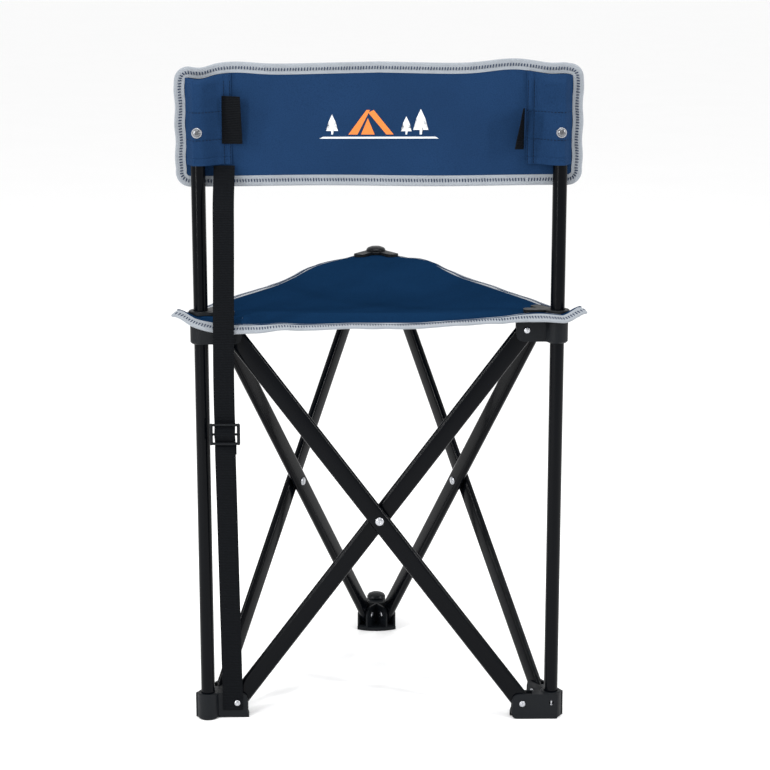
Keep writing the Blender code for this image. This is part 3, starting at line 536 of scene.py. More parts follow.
def webbing_material():
    shader = Shader("ribbed_webbing", roughness=0.68, specular=0.07)
    parts = shader.parts("UV")
    weave = shader.weave(parts["X"], 0.0016, parts["Y"], 0.0019)
    ribs = shader.wave(parts["Y"], 0.0019)
    speck = shader.noise(900.0, 3.0, 0.7)
    dark = rgba(0.0005, 0.0008, 0.0014)
    light = rgba(0.0018, 0.0026, 0.0040)
    base = shader.blend(shader.span(ribs, -1, 1, 0, 1), dark, light)
    base = shader.blend(shader.span(speck, 0.5, 0.8, 0, 0.4), base, rgba(0.0075, 0.0082, 0.0100))
    shader.colour(base)
    shader.relief(weave, 0.0002, 0.4)
    shader.relief(ribs, 0.0003, 0.8)
    return shader.material


def thread_material(name, dark, light):
    shader = Shader(name, roughness=0.7, specular=0.08)
    twist = shader.noise(1800.0, 2.0)
    shader.colour(shader.blend(twist, dark, light))
    shader.relief(twist, 0.0001, 0.6)
    return shader.material


def ink_material(name, colour):
    """Screen-print ink: slightly uneven, with the cloth's grain through it."""
    shader = Shader(name, roughness=0.55, specular=0.3)
    grain = shader.noise(1300.0, 3.0, 0.7)
    shader.colour(shader.blend(shader.span(grain, 0.4, 0.7, 0, 1), colour, shade(colour, 0.72)))
    shader.relief(grain, 0.0001, 0.5)
    return shader.material


STEEL = steel_material()
PLASTIC = plastic_material("moulded_plastic", 0.0042, 0.38, 0.55)
GLOSSY_PLASTIC = plastic_material("smooth_plastic", 0.0036, 0.22, 0.36)
ZINC = metal_material("zinc_plate", 0.40)
# A darker copy of the zinc for the screw heads: painted shade.
SHADED_SCREW_ZINC = metal_material("screw_zinc_painted_shade", 0.15)
# The seat is the same navy cloth as the backrest; its darker copy of the colours is painted shade.
SHADED_SEAT_NAVY = (rgba(0.0018, 0.0100, 0.0290), rgba(0.0040, 0.0185, 0.0500))
BACK_NAVY = (rgba(0.0036, 0.0138, 0.0385), rgba(0.0080, 0.0268, 0.0720))
SHADED_SEAT_FABRIC = cloth_material("navy_seat_cloth_painted_shade", *SHADED_SEAT_NAVY, "XY", 0.0)
BACK_FABRIC = cloth_material("navy_back_cloth", *BACK_NAVY, "XZ", 0.04)
TAPE = tape_material("grey_twill_tape", 0.28)
WEBBING = webbing_material()
THREAD_NAVY = (rgba(0.006, 0.012, 0.030), rgba(0.020, 0.034, 0.070))
SEAM_NAVY = (rgba(0.001, 0.003, 0.008), rgba(0.003, 0.007, 0.018))
THREAD = thread_material("navy_thread", *THREAD_NAVY)
SEAM_THREAD = thread_material("dark_seam_thread", *SEAM_NAVY)
WHITE_INK = ink_material("white_ink", rgba(0.62, 0.64, 0.66))
ORANGE_INK = ink_material("orange_ink", rgba(0.62, 0.17, 0.03))


# -------------------------------------------------------------------------- hard parts
def body_of(node):
    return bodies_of(frame["nodes"][node])[0]


def moulded(node, material, edge):
    """A CAD node's shape with clean faces and rounded edges."""
    bm = bmesh.new()
    bm.from_mesh(frame["nodes"][node].data)
    bmesh.ops.remove_doubles(bm, verts=bm.verts, dist=2e-6)
    flat = math.radians(1.5)
    bmesh.ops.dissolve_limit(bm, angle_limit=flat, verts=bm.verts, edges=bm.edges)
    obj = new_object(f"{node}_moulding", bm, material)
    bevel = obj.modifiers.new("edges", "BEVEL")
    bevel.width = edge
    bevel.segments = 2
    bevel.limit_method = "ANGLE"
    bevel.angle_limit = math.radians(32)
    bevel.harden_normals = True
    apply_modifiers(obj)
    place(obj, body_of(node), node, slot="moulded_plastic")


def spread(node, direction):
    """Lowest and highest place of a CAD node along a direction."""
    places = [vertex.co.dot(direction) for vertex in frame["nodes"][node].data.vertices]
    return min(places), max(places)


def side_of(corner, neighbour):
    return (CORNERS[neighbour] - CORNERS[corner]).normalized()


def outward(corner, neighbour):
    along = side_of(corner, neighbour)
    out = Vector((along.y, -along.x, 0))
    return out if out.dot(CORNERS[corner] - CENTRE) > 0 else -out


def build_posts():
    for corner in ("left", "right"):
        low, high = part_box(f"{corner}_post")
        profile = ring_profile(POST_RADIUS - POST_WALL, POST_RADIUS, low.z, high.z, 0.0008)
        obj = turned(f"{corner}_post_tube", profile, CORNERS[corner], UP, 56, STEEL)
        place(obj, f"{corner}_post", f"{corner}_post", slot="powder_coated_steel")


def oval_ring(centre, across, depth, half_width, half_depth):
    """Flat-oval section: straight faces between two rounded edges."""
    ring = []
    flat = max(half_width - half_depth, 0)
    for side in (1, -1):
        for step in range(9):
            angle = math.pi * (step / 8 - 0.5)
            wide = side * (flat + min(half_depth, half_width) * math.cos(angle))
            deep = side * half_depth * math.sin(angle)
            ring.append(centre + across * wide + depth * deep)
    return ring


def build_bar(name, along, out):
    """Flat-oval tube with rounded, slightly pressed ends, slanted as its CAD node is."""
    low_s, high_s = spread(name, along)
    low_z, high_z = spread(name, UP)
    middle = middle_of(name)
    vertices = frame["nodes"][name].data.vertices
    low_end = [vertex.co - middle for vertex in vertices if vertex.co.z < low_z + 0.03]
    reach = sum(offset.dot(along) for offset in low_end)
    run = high_s - low_s - BAR_WIDTH
    rise = high_z - low_z - BAR_WIDTH
    axis = (along * math.copysign(run, -reach) + UP * rise).normalized()
    half = math.hypot(run, rise) / 2
    rings = []
    for end in (-1, 1):
        for step in range(7)[::-end]:
            angle = math.radians(8 + 82 * step / 6)
            centre = middle + axis * end * (half + BAR_WIDTH / 2 * math.cos(angle))
            pressed = mix(0.78, 1.0, smooth(step / 3))
            wide = BAR_WIDTH / 2 * math.sin(angle)
            rings.append(oval_ring(centre, out.cross(axis), out, wide, BAR_THICKNESS / 2 * pressed))
    bm = bmesh.new()
    swept(bm, rings)
    obj = new_object(f"{name}_tube", bm, STEEL)
    place(obj, body_of(name), name, slot="powder_coated_steel")


def build_rivet(node, axis):
    """Pin with a domed head at each end and a small dimple in the upper one."""
    low, high = spread(node, axis)
    middle = middle_of(node)
    head, height = CENTRE_RIVET_HEAD if "centre" in node else RIVET_HEAD
    dome = [math.radians(18 * step) for step in range(1, 6)]
    domed = [(head * math.sin(angle), height * (1 - math.cos(angle))) for angle in dome]
    shank = head * 0.52
    under = height * 1.15
    profile = [(0, low)] + [(radius, low + rise) for radius, rise in domed]
    profile += [(head, low + under), (shank, low + under), (shank, high - under), (head, high - under)]
    profile += [(radius, high - rise) for radius, rise in domed[::-1]]
    dimple = head * 0.28
    profile += [(dimple, high), (dimple * 0.7, high - 0.0003), (0, high - 0.0004)]
    obj = turned(f"{node}_pin", profile, middle - axis * middle.dot(axis), axis, 28, ZINC)
    place(obj, body_of(node), node, slot="zinc")


def build_spacer(node, axis):
    low, high = spread(node, axis)
    middle = middle_of(node)
    profile = ring_profile(0, size_of(node).z / 2, low, high, (high - low) * 0.3)
    obj = turned(f"{node}_disc", profile, middle - axis * middle.dot(axis), axis, 36, PLASTIC)
    place(obj, body_of(node), node, slot="moulded_plastic")


def build_bars():
    for side, (first, second) in SIDES.items():
        for part in ("inner", "outer"):
            build_bar(f"{side}_{part}_bar", side_of(first, second), outward(first, second))


def build_rivets():
    for side, (first, second) in SIDES.items():
        out = outward(first, second)
        for corner, neighbour in ((first, second), (second, first)):
            for part in ("foot", "hub"):
                build_rivet(f"{corner}_{part}_rivet_{neighbour}", out)
        build_rivet(f"{side}_centre_rivet", out)
        build_spacer(f"{side}_centre_spacer", out)
    for corner in ("left", "right"):
        node = f"{corner}_post_rivet"
        build_rivet(node, (middle_of(node) - middle_of(f"{corner}_post")).normalized())


def recess_cutter(centre, top):
    """Cross-shaped tool for a screw's recess, narrower at its floor."""
    bm = bmesh.new()
    thin = 0.00045
    for turn in (35, 125):
        angle = math.radians(turn)
        along = SIDEWAYS * math.cos(angle) + UP * math.sin(angle)
        aside = SIDEWAYS * -math.sin(angle) + UP * math.cos(angle)
        rings = []
        for depth, half in ((top - 0.0013, 0.0012), (top + 0.001, 0.0021)):
            middle = centre + REARWARD * depth
            corners = ((1, 1), (-1, 1), (-1, -1), (1, -1))
            rings.append([middle + along * half * a + aside * thin * b for a, b in corners])
        swept(bm, rings)
    return new_object("recess_cutter", bm, SHADED_SCREW_ZINC)


def build_screws():
    for corner in ("left", "right"):
        centre = CORNERS[corner] + UP * SCREW_Z
        node = f"{corner}_washer"
        low, high = (value - REAR_Y for value in spread(node, REARWARD))
        profile = ring_profile(0.0026, size_of(node).x / 2, low, high, 0.0002)
        obj = turned(f"{corner}_washer_ring", profile, centre, REARWARD, 48, ZINC)
        place(obj, f"{corner}_post", node, slot="zinc")
        node = f"{corner}_screw"
        tip, top = (value - REAR_Y for value in spread(node, REARWARD))
        head = size_of(node).x / 2
        seat = high + 0.0002
        rim = seat + 0.0008
        profile = [(0, tip), (0.0016, tip + 0.001), (0.0016, seat), (head, seat), (head, rim)]
        for step in range(1, 6):
            angle = math.radians(15 * step)
            profile.append((head * math.cos(angle) ** 0.7, rim + (top - rim) * math.sin(angle)))
        profile.append((0, top))
        # The pan head takes the darker copy of the zinc: painted shade.
        obj = turned(f"{corner}_screw_pan", profile, centre, REARWARD, 40, SHADED_SCREW_ZINC)
        carve(obj, recess_cutter(centre, top), crossing=True)
        obj.data.set_sharp_from_angle(angle=math.radians(40))
        place(obj, f"{corner}_post", node, slot="zinc")


def build_buckle():
    """Slider with rounded end rims, three cross bars and a slot on each side of the middle one."""
    rim = 0.0019
    reach = SIDEWAYS * (BUCKLE_HALF.x - rim)
    bm = bmesh.new()
    for sign in (-1, 1):
        rounded = [(0.4, 0.0), (0.8, 0.0006), (1.0, 0.0016)]
        ends = [(size, BUCKLE_HALF.z - drop) for size, drop in rounded]
        ends += [(size, -rise) for size, rise in ends[::-1]]
        rings = []
        for size, rise in ends:
            centre = BUCKLE + reach * sign + UP * rise
            rings.append(circle(centre, SIDEWAYS * rim * size, REARWARD * rim * 1.25 * size, 12))
        swept(bm, rings)
    edge_bar = BUCKLE_HALF.z - 0.0017
    for rise, tall in ((edge_bar, 0.0016), (0.0, 0.0014), (-edge_bar, 0.0016)):
        centres = [BUCKLE + reach * sign + UP * rise for sign in (-1, 1)]
        swept(bm, [circle(centre, REARWARD * 0.0012, UP * tall, 12) for centre in centres])
    obj = new_object("strap_buckle_slider", bm, GLOSSY_PLASTIC)
    place(obj, "left_post", "strap_buckle", slot="moulded_plastic")


def build_mouldings():
    for corner in CORNERS:
        for part, edge in (("foot", 0.0006), ("hub", 0.0006), ("clamp_plate", 0.0004)):
            moulded(f"{corner}_{part}", PLASTIC, edge)
    for node in ("front_hub_cap", "front_foot_plug"):
        moulded(node, GLOSSY_PLASTIC, 0.0004)
    for node in ("left_post_cap", "right_post_cap"):
        moulded(node, PLASTIC, 0.0003)
    build_buckle()


# -------------------------------------------------------------------------------- seat
def along_side(point, side):
    """A place as (distance from a side's first corner, distance to its nearer corner, outside)."""
    first, second = SIDES[side]
    offset = plan(point) - CORNERS[first]
    distance = offset.dot(side_of(first, second))
    return distance, min(distance, SPACING - distance), offset.dot(outward(first, second))


def seat_share(point, corner):
    inward = (CENTRE - CORNERS[corner]).normalized()
    return 1 - (plan(point) - CORNERS[corner]).dot(inward) / TRIANGLE_DEPTH


def bow(distance):
    share = distance / SPACING
    return smooth((min(share, 1 - share) - FLAT_SHARE) / (0.5 - FLAT_SHARE))


def rear_edge_wave(distance):
    """How the rear edge rises and falls along its length, from the left corner."""
    wave = -0.0086 * bump(distance, 0.046, 0.042) - 0.0112 * bump(distance, 0.212, 0.100)
    return wave - 0.0050 * bump(distance, 0.120, 0.040) + 0.0045 * bump(distance, 0.374, 0.028)


def side_edge_rise(side, distance):
    """How far a side edge stands above the sagging seat, from its rear corner."""
    if side == "left":
        return 0.0072 * bump(distance, 0.248, 0.070) + 0.0012 * bump(distance, 0.120, 0.060)
    return 0.0040 * bump(distance, 0.190, 0.085) + 0.0058 * bump(distance, 0.285, 0.050)


def rim_lift(point):
    """The rear edge waves, the side edges stand up and the corners' tips curl up."""
    distance, nearer, out = along_side(point, "rear")
    hub = 1 - smooth((nearer - 0.046) / 0.030)
    start = mix(-HINGE_INSET, 0.0118, hub)
    end = mix(TAPE_IN["rear"][1], TAPE_IN["rear"][0], hub)
    within = smooth((nearer + 0.024) / 0.030)
    lift = rear_edge_wave(distance) * smooth((out - start) / (end - start)) * within
    for side in ("left", "right"):
        distance, nearer, out = along_side(point, side)
        free = smooth((nearer - 0.040) / 0.040)
        lift += side_edge_rise(side, distance) * free * smooth((out + 0.030) / 0.030)
    for corner, rise in TIP_LIFT.items():
        inward = (CENTRE - CORNERS[corner]).normalized()
        beyond = (CORNERS[corner] - plan(point)).dot(inward)
        lift += rise * smooth((beyond - 0.008) / 0.020)
    return lift


def tape_drop(side, distance):
    """How far the tape's outer rim hangs below its inner edge."""
    if side == "rear":
        near_hubs = 0.0070 * bump(distance, 0.030, 0.062) + 0.0058 * bump(distance, 0.390, 0.060)
        return 0.0030 + near_hubs
    if side == "left":
        return mix(0.0005, 0.0030, smooth((distance - 0.150) / 0.060))
    return mix(0.0010, 0.0030, smooth((distance - 0.205) / 0.050))


def seat_height(point):
    """Height of the stretched seat: it sags between the hubs, with tension folds at them."""
    shares = {corner: seat_share(point, corner) for corner in CORNERS}
    climb = (shares["front"] - FLAT_SHARE) / (1 - 2 * FLAT_SHARE)
    inside = smooth(27 * max(shares["left"] * shares["right"] * shares["front"], 0))
    height = SEAT_Z + FRONT_RISE * min(max(climb, 0.0), 1.0)
    height += rim_lift(point) - CENTRE_SAG * inside
    for corner, origin in CORNERS.items():
        offset = plan(point) - origin
        distance = offset.length
        inward = CENTRE - origin
        angle = math.atan2(inward.x * offset.y - inward.y * offset.x, inward.dot(offset))
        near = smooth((distance - 0.014) / 0.05) * math.exp(-((distance / 0.13) ** 2))
        height += FOLD_HEIGHT * near * (0.5 + 0.5 * math.cos(angle * 11 + len(corner)))
    return height


def seat_point(point):
    return Vector((point.x, point.y, seat_height(point)))


def seat_facing(point):
    return slope_normal(seat_height, point, SIDEWAYS, REARWARD, 0.0006)


def border(corner, neighbour, distance, out):
    return CORNERS[corner] + side_of(corner, neighbour) * distance + outward(corner, neighbour) * out


def edge_value(pair, distance):
    return mix(pair[0], pair[1], bow(distance))


def tip_offsets(reach):
    """A tip's place as (distance along a side, distance outside it)."""
    return -reach * math.cos(math.radians(30)), reach * math.sin(math.radians(30))


INNER_S, INNER_OUT = tip_offsets(-2 * HINGE_INSET)


def side_between(corner, neighbour):
    """The seat edge between two corners, and whether it starts at the first of them."""
    for side, ends in SIDES.items():
        if set(ends) == {corner, neighbour}:
            return side, ends[0] == corner


def patch_rows(corner, neighbour):
    """Grid over the half of a corner's patch that lies along one of its sides."""
    side, _ = side_between(corner, neighbour)
    tip_s, tip_out = tip_offsets(CLOTH_TIP)
    end_out = edge_value(CLOTH_OUT[side], PATCH_END)

    def point_at(share, across):
        outer_out = mix(tip_out, end_out, smooth(share * 2.5))
        outer = border(corner, neighbour, mix(tip_s, PATCH_END, share), outer_out)
        inner = border(corner, neighbour, mix(INNER_S, PATCH_END, share), INNER_OUT)
        return seat_point(outer.lerp(inner, across))

    return grid(18, 14, point_at)


def build_seat_patches():
    for corner in CORNERS:
        arms = [patch_rows(corner, other) for other in CORNERS if other != corner]
        rows = arms[0][:0:-1] + arms[1]
        obj = shell(f"seat_patch_{corner}", rows, SEAT_CLOTH, seat_facing, SHADED_SEAT_FABRIC)
        low = CORNERS[corner] + UP * (SEAT_Z - 0.03)
        profile = [(0, 0), (HOLE_RADIUS, 0), (HOLE_RADIUS, 0.08), (0, 0.08)]
        carve(obj, turned("hole_cutter", profile, low, UP, 40, SHADED_SEAT_FABRIC))
        set_normals(obj, seat_facing)
        place(obj, f"{corner}_hub", f"seat_panel_{corner}", slot="navy_fabric")


def build_seat_gores():
    for side, (first, second) in SIDES.items():

        def point_at(share, across):
            base = border(first, second, mix(INNER_S, SPACING - INNER_S, share), -HINGE_INSET)
            return seat_point(base.lerp(CENTRE, 0.9985 * across))

        rows = grid(56, 30, point_at)
        obj = shell(f"seat_gore_{side}", rows, SEAT_CLOTH, seat_facing, SHADED_SEAT_FABRIC)
        anchor = seat_point(border(first, second, INNER_S, -HINGE_INSET))
        hinge = seat_point(border(second, first, INNER_S, -HINGE_INSET)) - anchor
        squash = {"axis": hinge.normalized(), "anchor": anchor, "keep": FOLDED_GORE}
        place(obj, f"seat_{side}_edge", slot="navy_fabric", squash=squash)


def side_squash(first, second):
    anchor = border(first, second, PATCH_END, 0)
    return {"axis": side_of(first, second), "anchor": anchor, "keep": FOLDED_SHARE}


def build_seat_strips():
    for side, (first, second) in SIDES.items():

        def point_at(share, across):
            distance = PATCH_END + SPAN * share
            inner = border(first, second, distance, -HINGE_INSET)
            outer = border(first, second, distance, edge_value(CLOTH_OUT[side], distance))
            return seat_point(outer.lerp(inner, across))

        rows = grid(72, 10, point_at)
        obj = shell(f"seat_strip_{side}", rows, SEAT_CLOTH, seat_facing, SHADED_SEAT_FABRIC)
        place(obj, f"{first}_hub", slot="navy_fabric", squash=side_squash(first, second))


# ------------------------------------------------------------------------------- tapes
def tape_frames(stations, facing):
    """(inner, outer, normal, tangent, distance along) at each station of a tape."""
    frames = []
    distance = 0.0
    last = (stations[0][0] + stations[0][1]) / 2
    for index, (inner, outer) in enumerate(stations):
        before = stations[max(index - 1, 0)]
        after = stations[min(index + 1, len(stations) - 1)]
        tangent = (after[0] + after[1] - before[0] - before[1]).normalized()
        normal = tangent.cross(outer - inner).normalized()
        if normal.dot(facing) < 0:
            normal = -normal
        middle = (inner + outer) / 2
        distance += (middle - last).length
        last = middle
        frames.append((inner, outer, normal, tangent, distance))
    return frames


def tape_ring(inner, outer, normal):
    """Section of a tape folded over the cloth's edge, with its ring of UV offsets."""
    across = outer - inner
    width = across.length
    across = across / width
    ring = []
    offsets = []
    for side in (1, -1):
        for step in range(9)[::side]:
            share = step / 8
            puff = TAPE_HALF * (0.82 + 0.30 * smooth(share * 1.6 - 0.5))
            puff *= 1 - 0.22 * bump(share, 0.42, 0.16)
            reach = (width - TAPE_HALF) * share
            ring.append(inner + across * reach + normal * puff * side)
            offsets.append(reach * side)
        if side > 0:
            centre = inner + across * (width - TAPE_HALF)
            for angle in (math.radians(60 - 30 * step) for step in range(5)):
                spoke = across * math.cos(angle) + normal * math.sin(angle) * 1.12
                ring.append(centre + spoke * TAPE_HALF)
                offsets.append(width)
    return ring, offsets


def add_stitch(bm, middle, across, tangent, normal):
    """Low rounded dash of thread across the tape."""
    slant = math.radians(RANDOM.uniform(4, 14))
    along = across * math.cos(slant) + tangent * math.sin(slant)
    aside = normal.cross(along).normalized()
    half = STITCH_LENGTH / 2 * RANDOM.uniform(0.85, 1.1)
    wide = STITCH_WIDTH / 2
    outline = ((-1, 0), (-0.8, -0.8), (0.8, -0.8), (1, 0), (0.8, 0.8), (-0.8, 0.8))
    rings = []
    for shrink, lift in ((1.0, -0.0004), (1.0, 0.0001), (0.72, STITCH_HEIGHT)):
        centre = middle + normal * lift
        long = along * half * mix(1, shrink, 0.4)
        short = aside * wide * shrink
        rings.append([centre + long * a + short * b for a, b in outline])
    swept(bm, rings)


def add_tape(bm, threads, stations, facing, stitch_at):
    """Adds a tape along the stations to one mesh and its stitches, both sides, to another."""
    frames = tape_frames(stations, facing)
    rings = []
    uvs = []
    for inner, outer, normal, _, distance in frames:
        ring, offsets = tape_ring(inner, outer, normal)
        rings.append(ring)
        uvs.append([(offset, distance) for offset in offsets])
    swept(bm, rings, uvs)
    spot = STITCH_PITCH / 2
    index = 0
    while spot < frames[-1][4] - STITCH_PITCH / 4:
        while frames[index + 1][4] < spot:
            index += 1
        low, high = frames[index], frames[index + 1]
        share = (spot - low[4]) / (high[4] - low[4])
        inner, outer, normal, tangent = (low[i].lerp(high[i], share) for i in range(4))
        across = (outer - inner).normalized()
        middle = inner.lerp(outer, stitch_at(spot))
        for side in (1, -1):
            face = middle + normal * side * TAPE_HALF * 0.90
            add_stitch(threads, face, across, tangent, normal * side)
        spot += STITCH_PITCH * RANDOM.uniform(0.94, 1.06)


def tape_objects(name, runs, facing, stitch_at):
    bm = bmesh.new()
    threads = bmesh.new()
    for stations in runs:
        add_tape(bm, threads, stations, facing, stitch_at)
    return new_object(name, bm, TAPE), new_object(f"{name}_stitches", threads, THREAD)


def seat_stitch_place(distance):
    """Share of the tape's width, from its inner edge, at which its stitches run."""
    return 0.50 + 0.06 * math.sin(distance * 21)


def back_stitch_place(distance):
    """The backrest's stitches run at one share of the tape's width all the way."""
    return 0.46


def declare_tape(tape, length, thread):
    """A folded tape is cut twice as wide as it shows; its flat size is worked out from its measured
    faces and not used.
    """
    flat = (max(one_face(tape) / length, 0.01), length)


def seat_tape_station(corner, neighbour, inner, outer, drop):
    """A tape's two edges, from their places along and outside a side of the seat."""
    inner = seat_point(border(corner, neighbour, *inner))
    outer = border(corner, neighbour, *outer)
    outer.z = inner.z - drop
    ripple = noise.noise(outer * 30) * 0.0007
    return inner + UP * ripple, outer + UP * (ripple + noise.noise(outer * 55) * 0.0008)


def seat_tape_arm(corner, neighbour):
    """Stations of a tape from near a corner's tip to where the patch ends."""
    side, forward = side_between(corner, neighbour)
    inner_tip = tip_offsets(TAPE_INNER_TIP)
    outer_tip = tip_offsets(TAPE_OUTER_TIP)
    inner_end = edge_value(TAPE_IN[side], PATCH_END)
    outer_end = edge_value(TAPE_OUT, PATCH_END)
    arm = []
    for step in range(1, 25):
        share = step / 24
        inner_s = mix(inner_tip[0], PATCH_END, share)
        inner = (inner_s, mix(inner_tip[1], inner_end, smooth(share * 2.5)))
        outer_s = mix(outer_tip[0], PATCH_END, share)
        outer = (outer_s, mix(outer_tip[1], outer_end, smooth(share * 3)))
        distance = inner_s if forward else SPACING - inner_s
        drop = mix(TIP_DROP, tape_drop(side, distance), smooth(share * 1.8))
        arm.append(seat_tape_station(corner, neighbour, inner, outer, drop))
    return arm


def build_seat_tapes():
    tips = (tip_offsets(TAPE_INNER_TIP), tip_offsets(TAPE_OUTER_TIP))
    for corner in CORNERS:
        others = [name for name in CORNERS if name != corner]
        arms = [seat_tape_arm(corner, other) for other in others]
        tip = seat_tape_station(corner, others[0], *tips, TIP_DROP)
        stations = arms[0][::-1] + [tip] + arms[1]
        tape, thread = tape_objects(f"seat_tape_{corner}_corner", [stations], UP, seat_stitch_place)
        for obj in (tape, thread):
            place(obj, f"{corner}_hub", slot="binding_tape")
        declare_tape(tape, CORNER_TAPE, thread)
    for side, (first, second) in SIDES.items():
        stations = []
        for step in range(91):
            distance = PATCH_END + SPAN * step / 90
            inner = (distance, edge_value(TAPE_IN[side], distance))
            outer = (distance, edge_value(TAPE_OUT, distance))
            drop = tape_drop(side, distance)
            stations.append(seat_tape_station(first, second, inner, outer, drop))
        tape, thread = tape_objects(f"seat_tape_{side}_edge", [stations], UP, seat_stitch_place)
        for obj in (tape, thread):
            place(obj, f"{first}_hub", slot="binding_tape", squash=side_squash(first, second))
        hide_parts(f"seat_binding_{side}")
        declare_tape(tape, SPAN, thread)


# ---------------------------------------------------------------------------- backrest
def back_top(x):
    """Height of the backrest's upper edge, a little wavy over the posts."""
    peak = BACK_HIGH - BACK_PEAK * abs(x) / BACK_HALF
    wave = 0.0035 * bump(x, 0.160, 0.030) - 0.0030 * bump(x, 0.196, 0.012)
    wave += 0.0065 * bump(x, -0.150, 0.038) + 0.0025 * bump(x, -0.205, 0.012)
    return peak + wave + 0.0015


def back_bottom(x):
    return BACK_LOW - 0.0025 + 0.0006 * math.sin(x * 24)


def back_depth(point):
    """How far the backrest's middle layer stands behind the rear posts' plane."""
    x, z = point.x, point.z
    drift = 0.0007 * noise.noise(Vector((x * 9, 0.3, z * 16)))
    near_posts = sum(bump(x, CORNERS[corner].x, 0.055) for corner in ("left", "right"))
    pull = 0.0004 * near_posts * math.sin(z * 190 + x * 40)
    return BACK_DEPTH + drift + pull


def back_point(x, z, lift=0.0):
    point = Vector((x, REAR_Y, z))
    point.y += back_depth(point) + lift
    return point


def back_facing(point):
    return slope_normal(back_depth, point, UP, SIDEWAYS, 0.0008)


def back_run(start, end, edge, inset, steps):
    """Stations of the tape along the backrest's upper or lower edge."""
    stations = []
    for step in range(steps + 1):
        x = mix(start, end, step / steps)
        stations.append((back_point(x, edge(x) + inset), back_point(x, edge(x))))
    return stations


def back_turn(sign, centre, start, steps):
    """Stations round a corner of the backrest, down from the start angle."""
    stations = []
    for step in steps:
        angle = math.radians(start - 90 * step / 8)
        spoke = Vector((sign * math.cos(angle), 0, math.sin(angle)))
        pair = [centre + spoke * reach for reach in (BACK_CORNER - BACK_TAPE, BACK_CORNER)]
        stations.append(tuple(back_point(point.x, point.z) for point in pair))
    return stations


def back_end_stations(sign):
    """Round one end of the backrest, from its top split to its bottom split."""
    split = sign * BACK_SPLIT
    run_end = sign * (BACK_HALF - BACK_CORNER)
    high = Vector((run_end, 0, back_top(run_end) - BACK_CORNER))
    low = Vector((run_end, 0, back_bottom(run_end) + BACK_CORNER))
    stations = back_run(split, run_end, back_top, -BACK_TAPE, 14)
    stations += back_turn(sign, high, 90, range(1, 9))
    for step in range(1, 24):
        z = mix(high.z, low.z, step / 24)
        outer = sign * (BACK_HALF + 0.0006 * math.sin(step * 0.7))
        stations.append((back_point(outer - sign * BACK_TAPE, z), back_point(outer, z)))
    stations += back_turn(sign, low, 0, range(9))
    return stations + back_run(run_end, split, back_bottom, BACK_TAPE, 14)[1:]


def build_back_section(part, start, end, runs, posts, tape_length):
    """One section of the backrest with its tape; it rides on the first of its posts."""
    middle = part == "middle"

    def point_at(share, up):
        x = mix(start, end, share)
        return back_point(x, mix(back_bottom(x) + BACK_COVER, back_top(x) - BACK_COVER, up))

    width = abs(end - start)
    rows = grid(max(round(width / 0.003), 8), 40, point_at)
    panel = shell(f"backrest_cloth_{part}", rows, BACK_CLOTH, back_facing, BACK_FABRIC)
    tape, thread = tape_objects(f"backrest_tape_{part}", runs, REARWARD, back_stitch_place)
    for obj, slot in ((panel, "navy_fabric"), (tape, "binding_tape"), (thread, "binding_tape")):
        place(obj, posts[0], slot=slot, squash=BACK_SQUASH if middle else None)
    if middle:
        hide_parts("backrest_panel")
        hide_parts("backrest_binding")
    declare_tape(tape, tape_length, thread)


def build_backrest():
    edge = BACK_HALF - BACK_COVER
    split = BACK_SPLIT
    middle_runs = [
        back_run(split, -split, back_top, -BACK_TAPE, 90),
        back_run(split, -split, back_bottom, BACK_TAPE, 90),
    ]
    left_runs = [back_end_stations(1)]
    right_runs = [back_end_stations(-1)]
    both = ["left_post", "right_post"]
    build_back_section("left", edge, split, left_runs, ["left_post"], BACK_END_TAPE)
    build_back_section("middle", split, -split, middle_runs, both, 4 * split)
    build_back_section("right", -split, -edge, right_runs, ["right_post"], BACK_END_TAPE)


# ----------------------------------------------------------------------------- sleeves
def sleeve_depth(out, z, sign):
    """Depth of a sleeve's cloth behind the rear plane; out runs from the post's axis."""
    if out < 0:
        rise = smooth((out + 0.0265) / 0.0235)
    else:
        rise = smooth((SLEEVE_OUTER - out) / 0.0101)
    closing = smooth((z - CAP_TOP - 0.001) / (BACK_HIGH - BACK_TAPE - CAP_TOP))
    rise *= 1 - 0.7 * closing
    depth = mix(SLEEVE_FLANGE, SLEEVE_TOP_DEPTH, rise)
    slope = rise * (1 - rise) * 4
    pucker = 0.0008 * noise.noise(Vector((out * 60, sign * 2.0, z * 90)))
    pucker += 0.0012 * closing * noise.noise(Vector((out * 150, sign * 3.0, z * 40)))
    depth += pucker * (0.25 + slope) + 0.0006 * slope * math.sin((z - SCREW_Z) * 150)
    depth += 0.0006 * bump(out, sum(SLEEVE_SEAMS) / 2, 0.0018)
    for seam in SLEEVE_SEAMS:
        depth -= 0.0005 * bump(out, seam, 0.0006)
    for seam in CROSS_SEAMS:
        depth -= 0.0007 * bump(z, seam, 0.0007) * (1 - 0.6 * rise)
    hem_edge = 0.0006 * bump(z, SLEEVE_HEM + 0.0005, 0.0005)
    return depth + 0.0007 * smooth((SLEEVE_HEM - z) / 0.001) - hem_edge


def add_seam_stitch(bm, middle, along, normal):
    """Small running stitch along a seam."""
    aside = normal.cross(along).normalized()
    rings = []
    for share, size in ((-0.5, 0.3), (-0.3, 1.0), (0.3, 1.0), (0.5, 0.3)):
        radius = 0.0004 * size
        centre = middle + along * share * SEAM_STITCH
        rings.append(circle(centre, aside * radius, normal * radius, 6))
    swept(bm, rings)


def seam_places():
    """(out, height, share of its way outward, upward) of each stitch on a sleeve."""
    starts = [(out, SLEEVE_LOW, 0, 1) for out in SLEEVE_SEAMS]
    starts += [(SLEEVE_SEAMS[0], z, 1, 0) for z in CROSS_SEAMS]
    places = []
    for out, z, aside, up in starts:
        length = SLEEVE_HIGH - SLEEVE_LOW if up else SLEEVE_OUTER - SLEEVE_SEAMS[0]
        for step in range(int(length / SEAM_PITCH)):
            way = SEAM_PITCH * (step + 0.6)
            places.append((out + way * aside, z + way * up, aside, up))
    return places


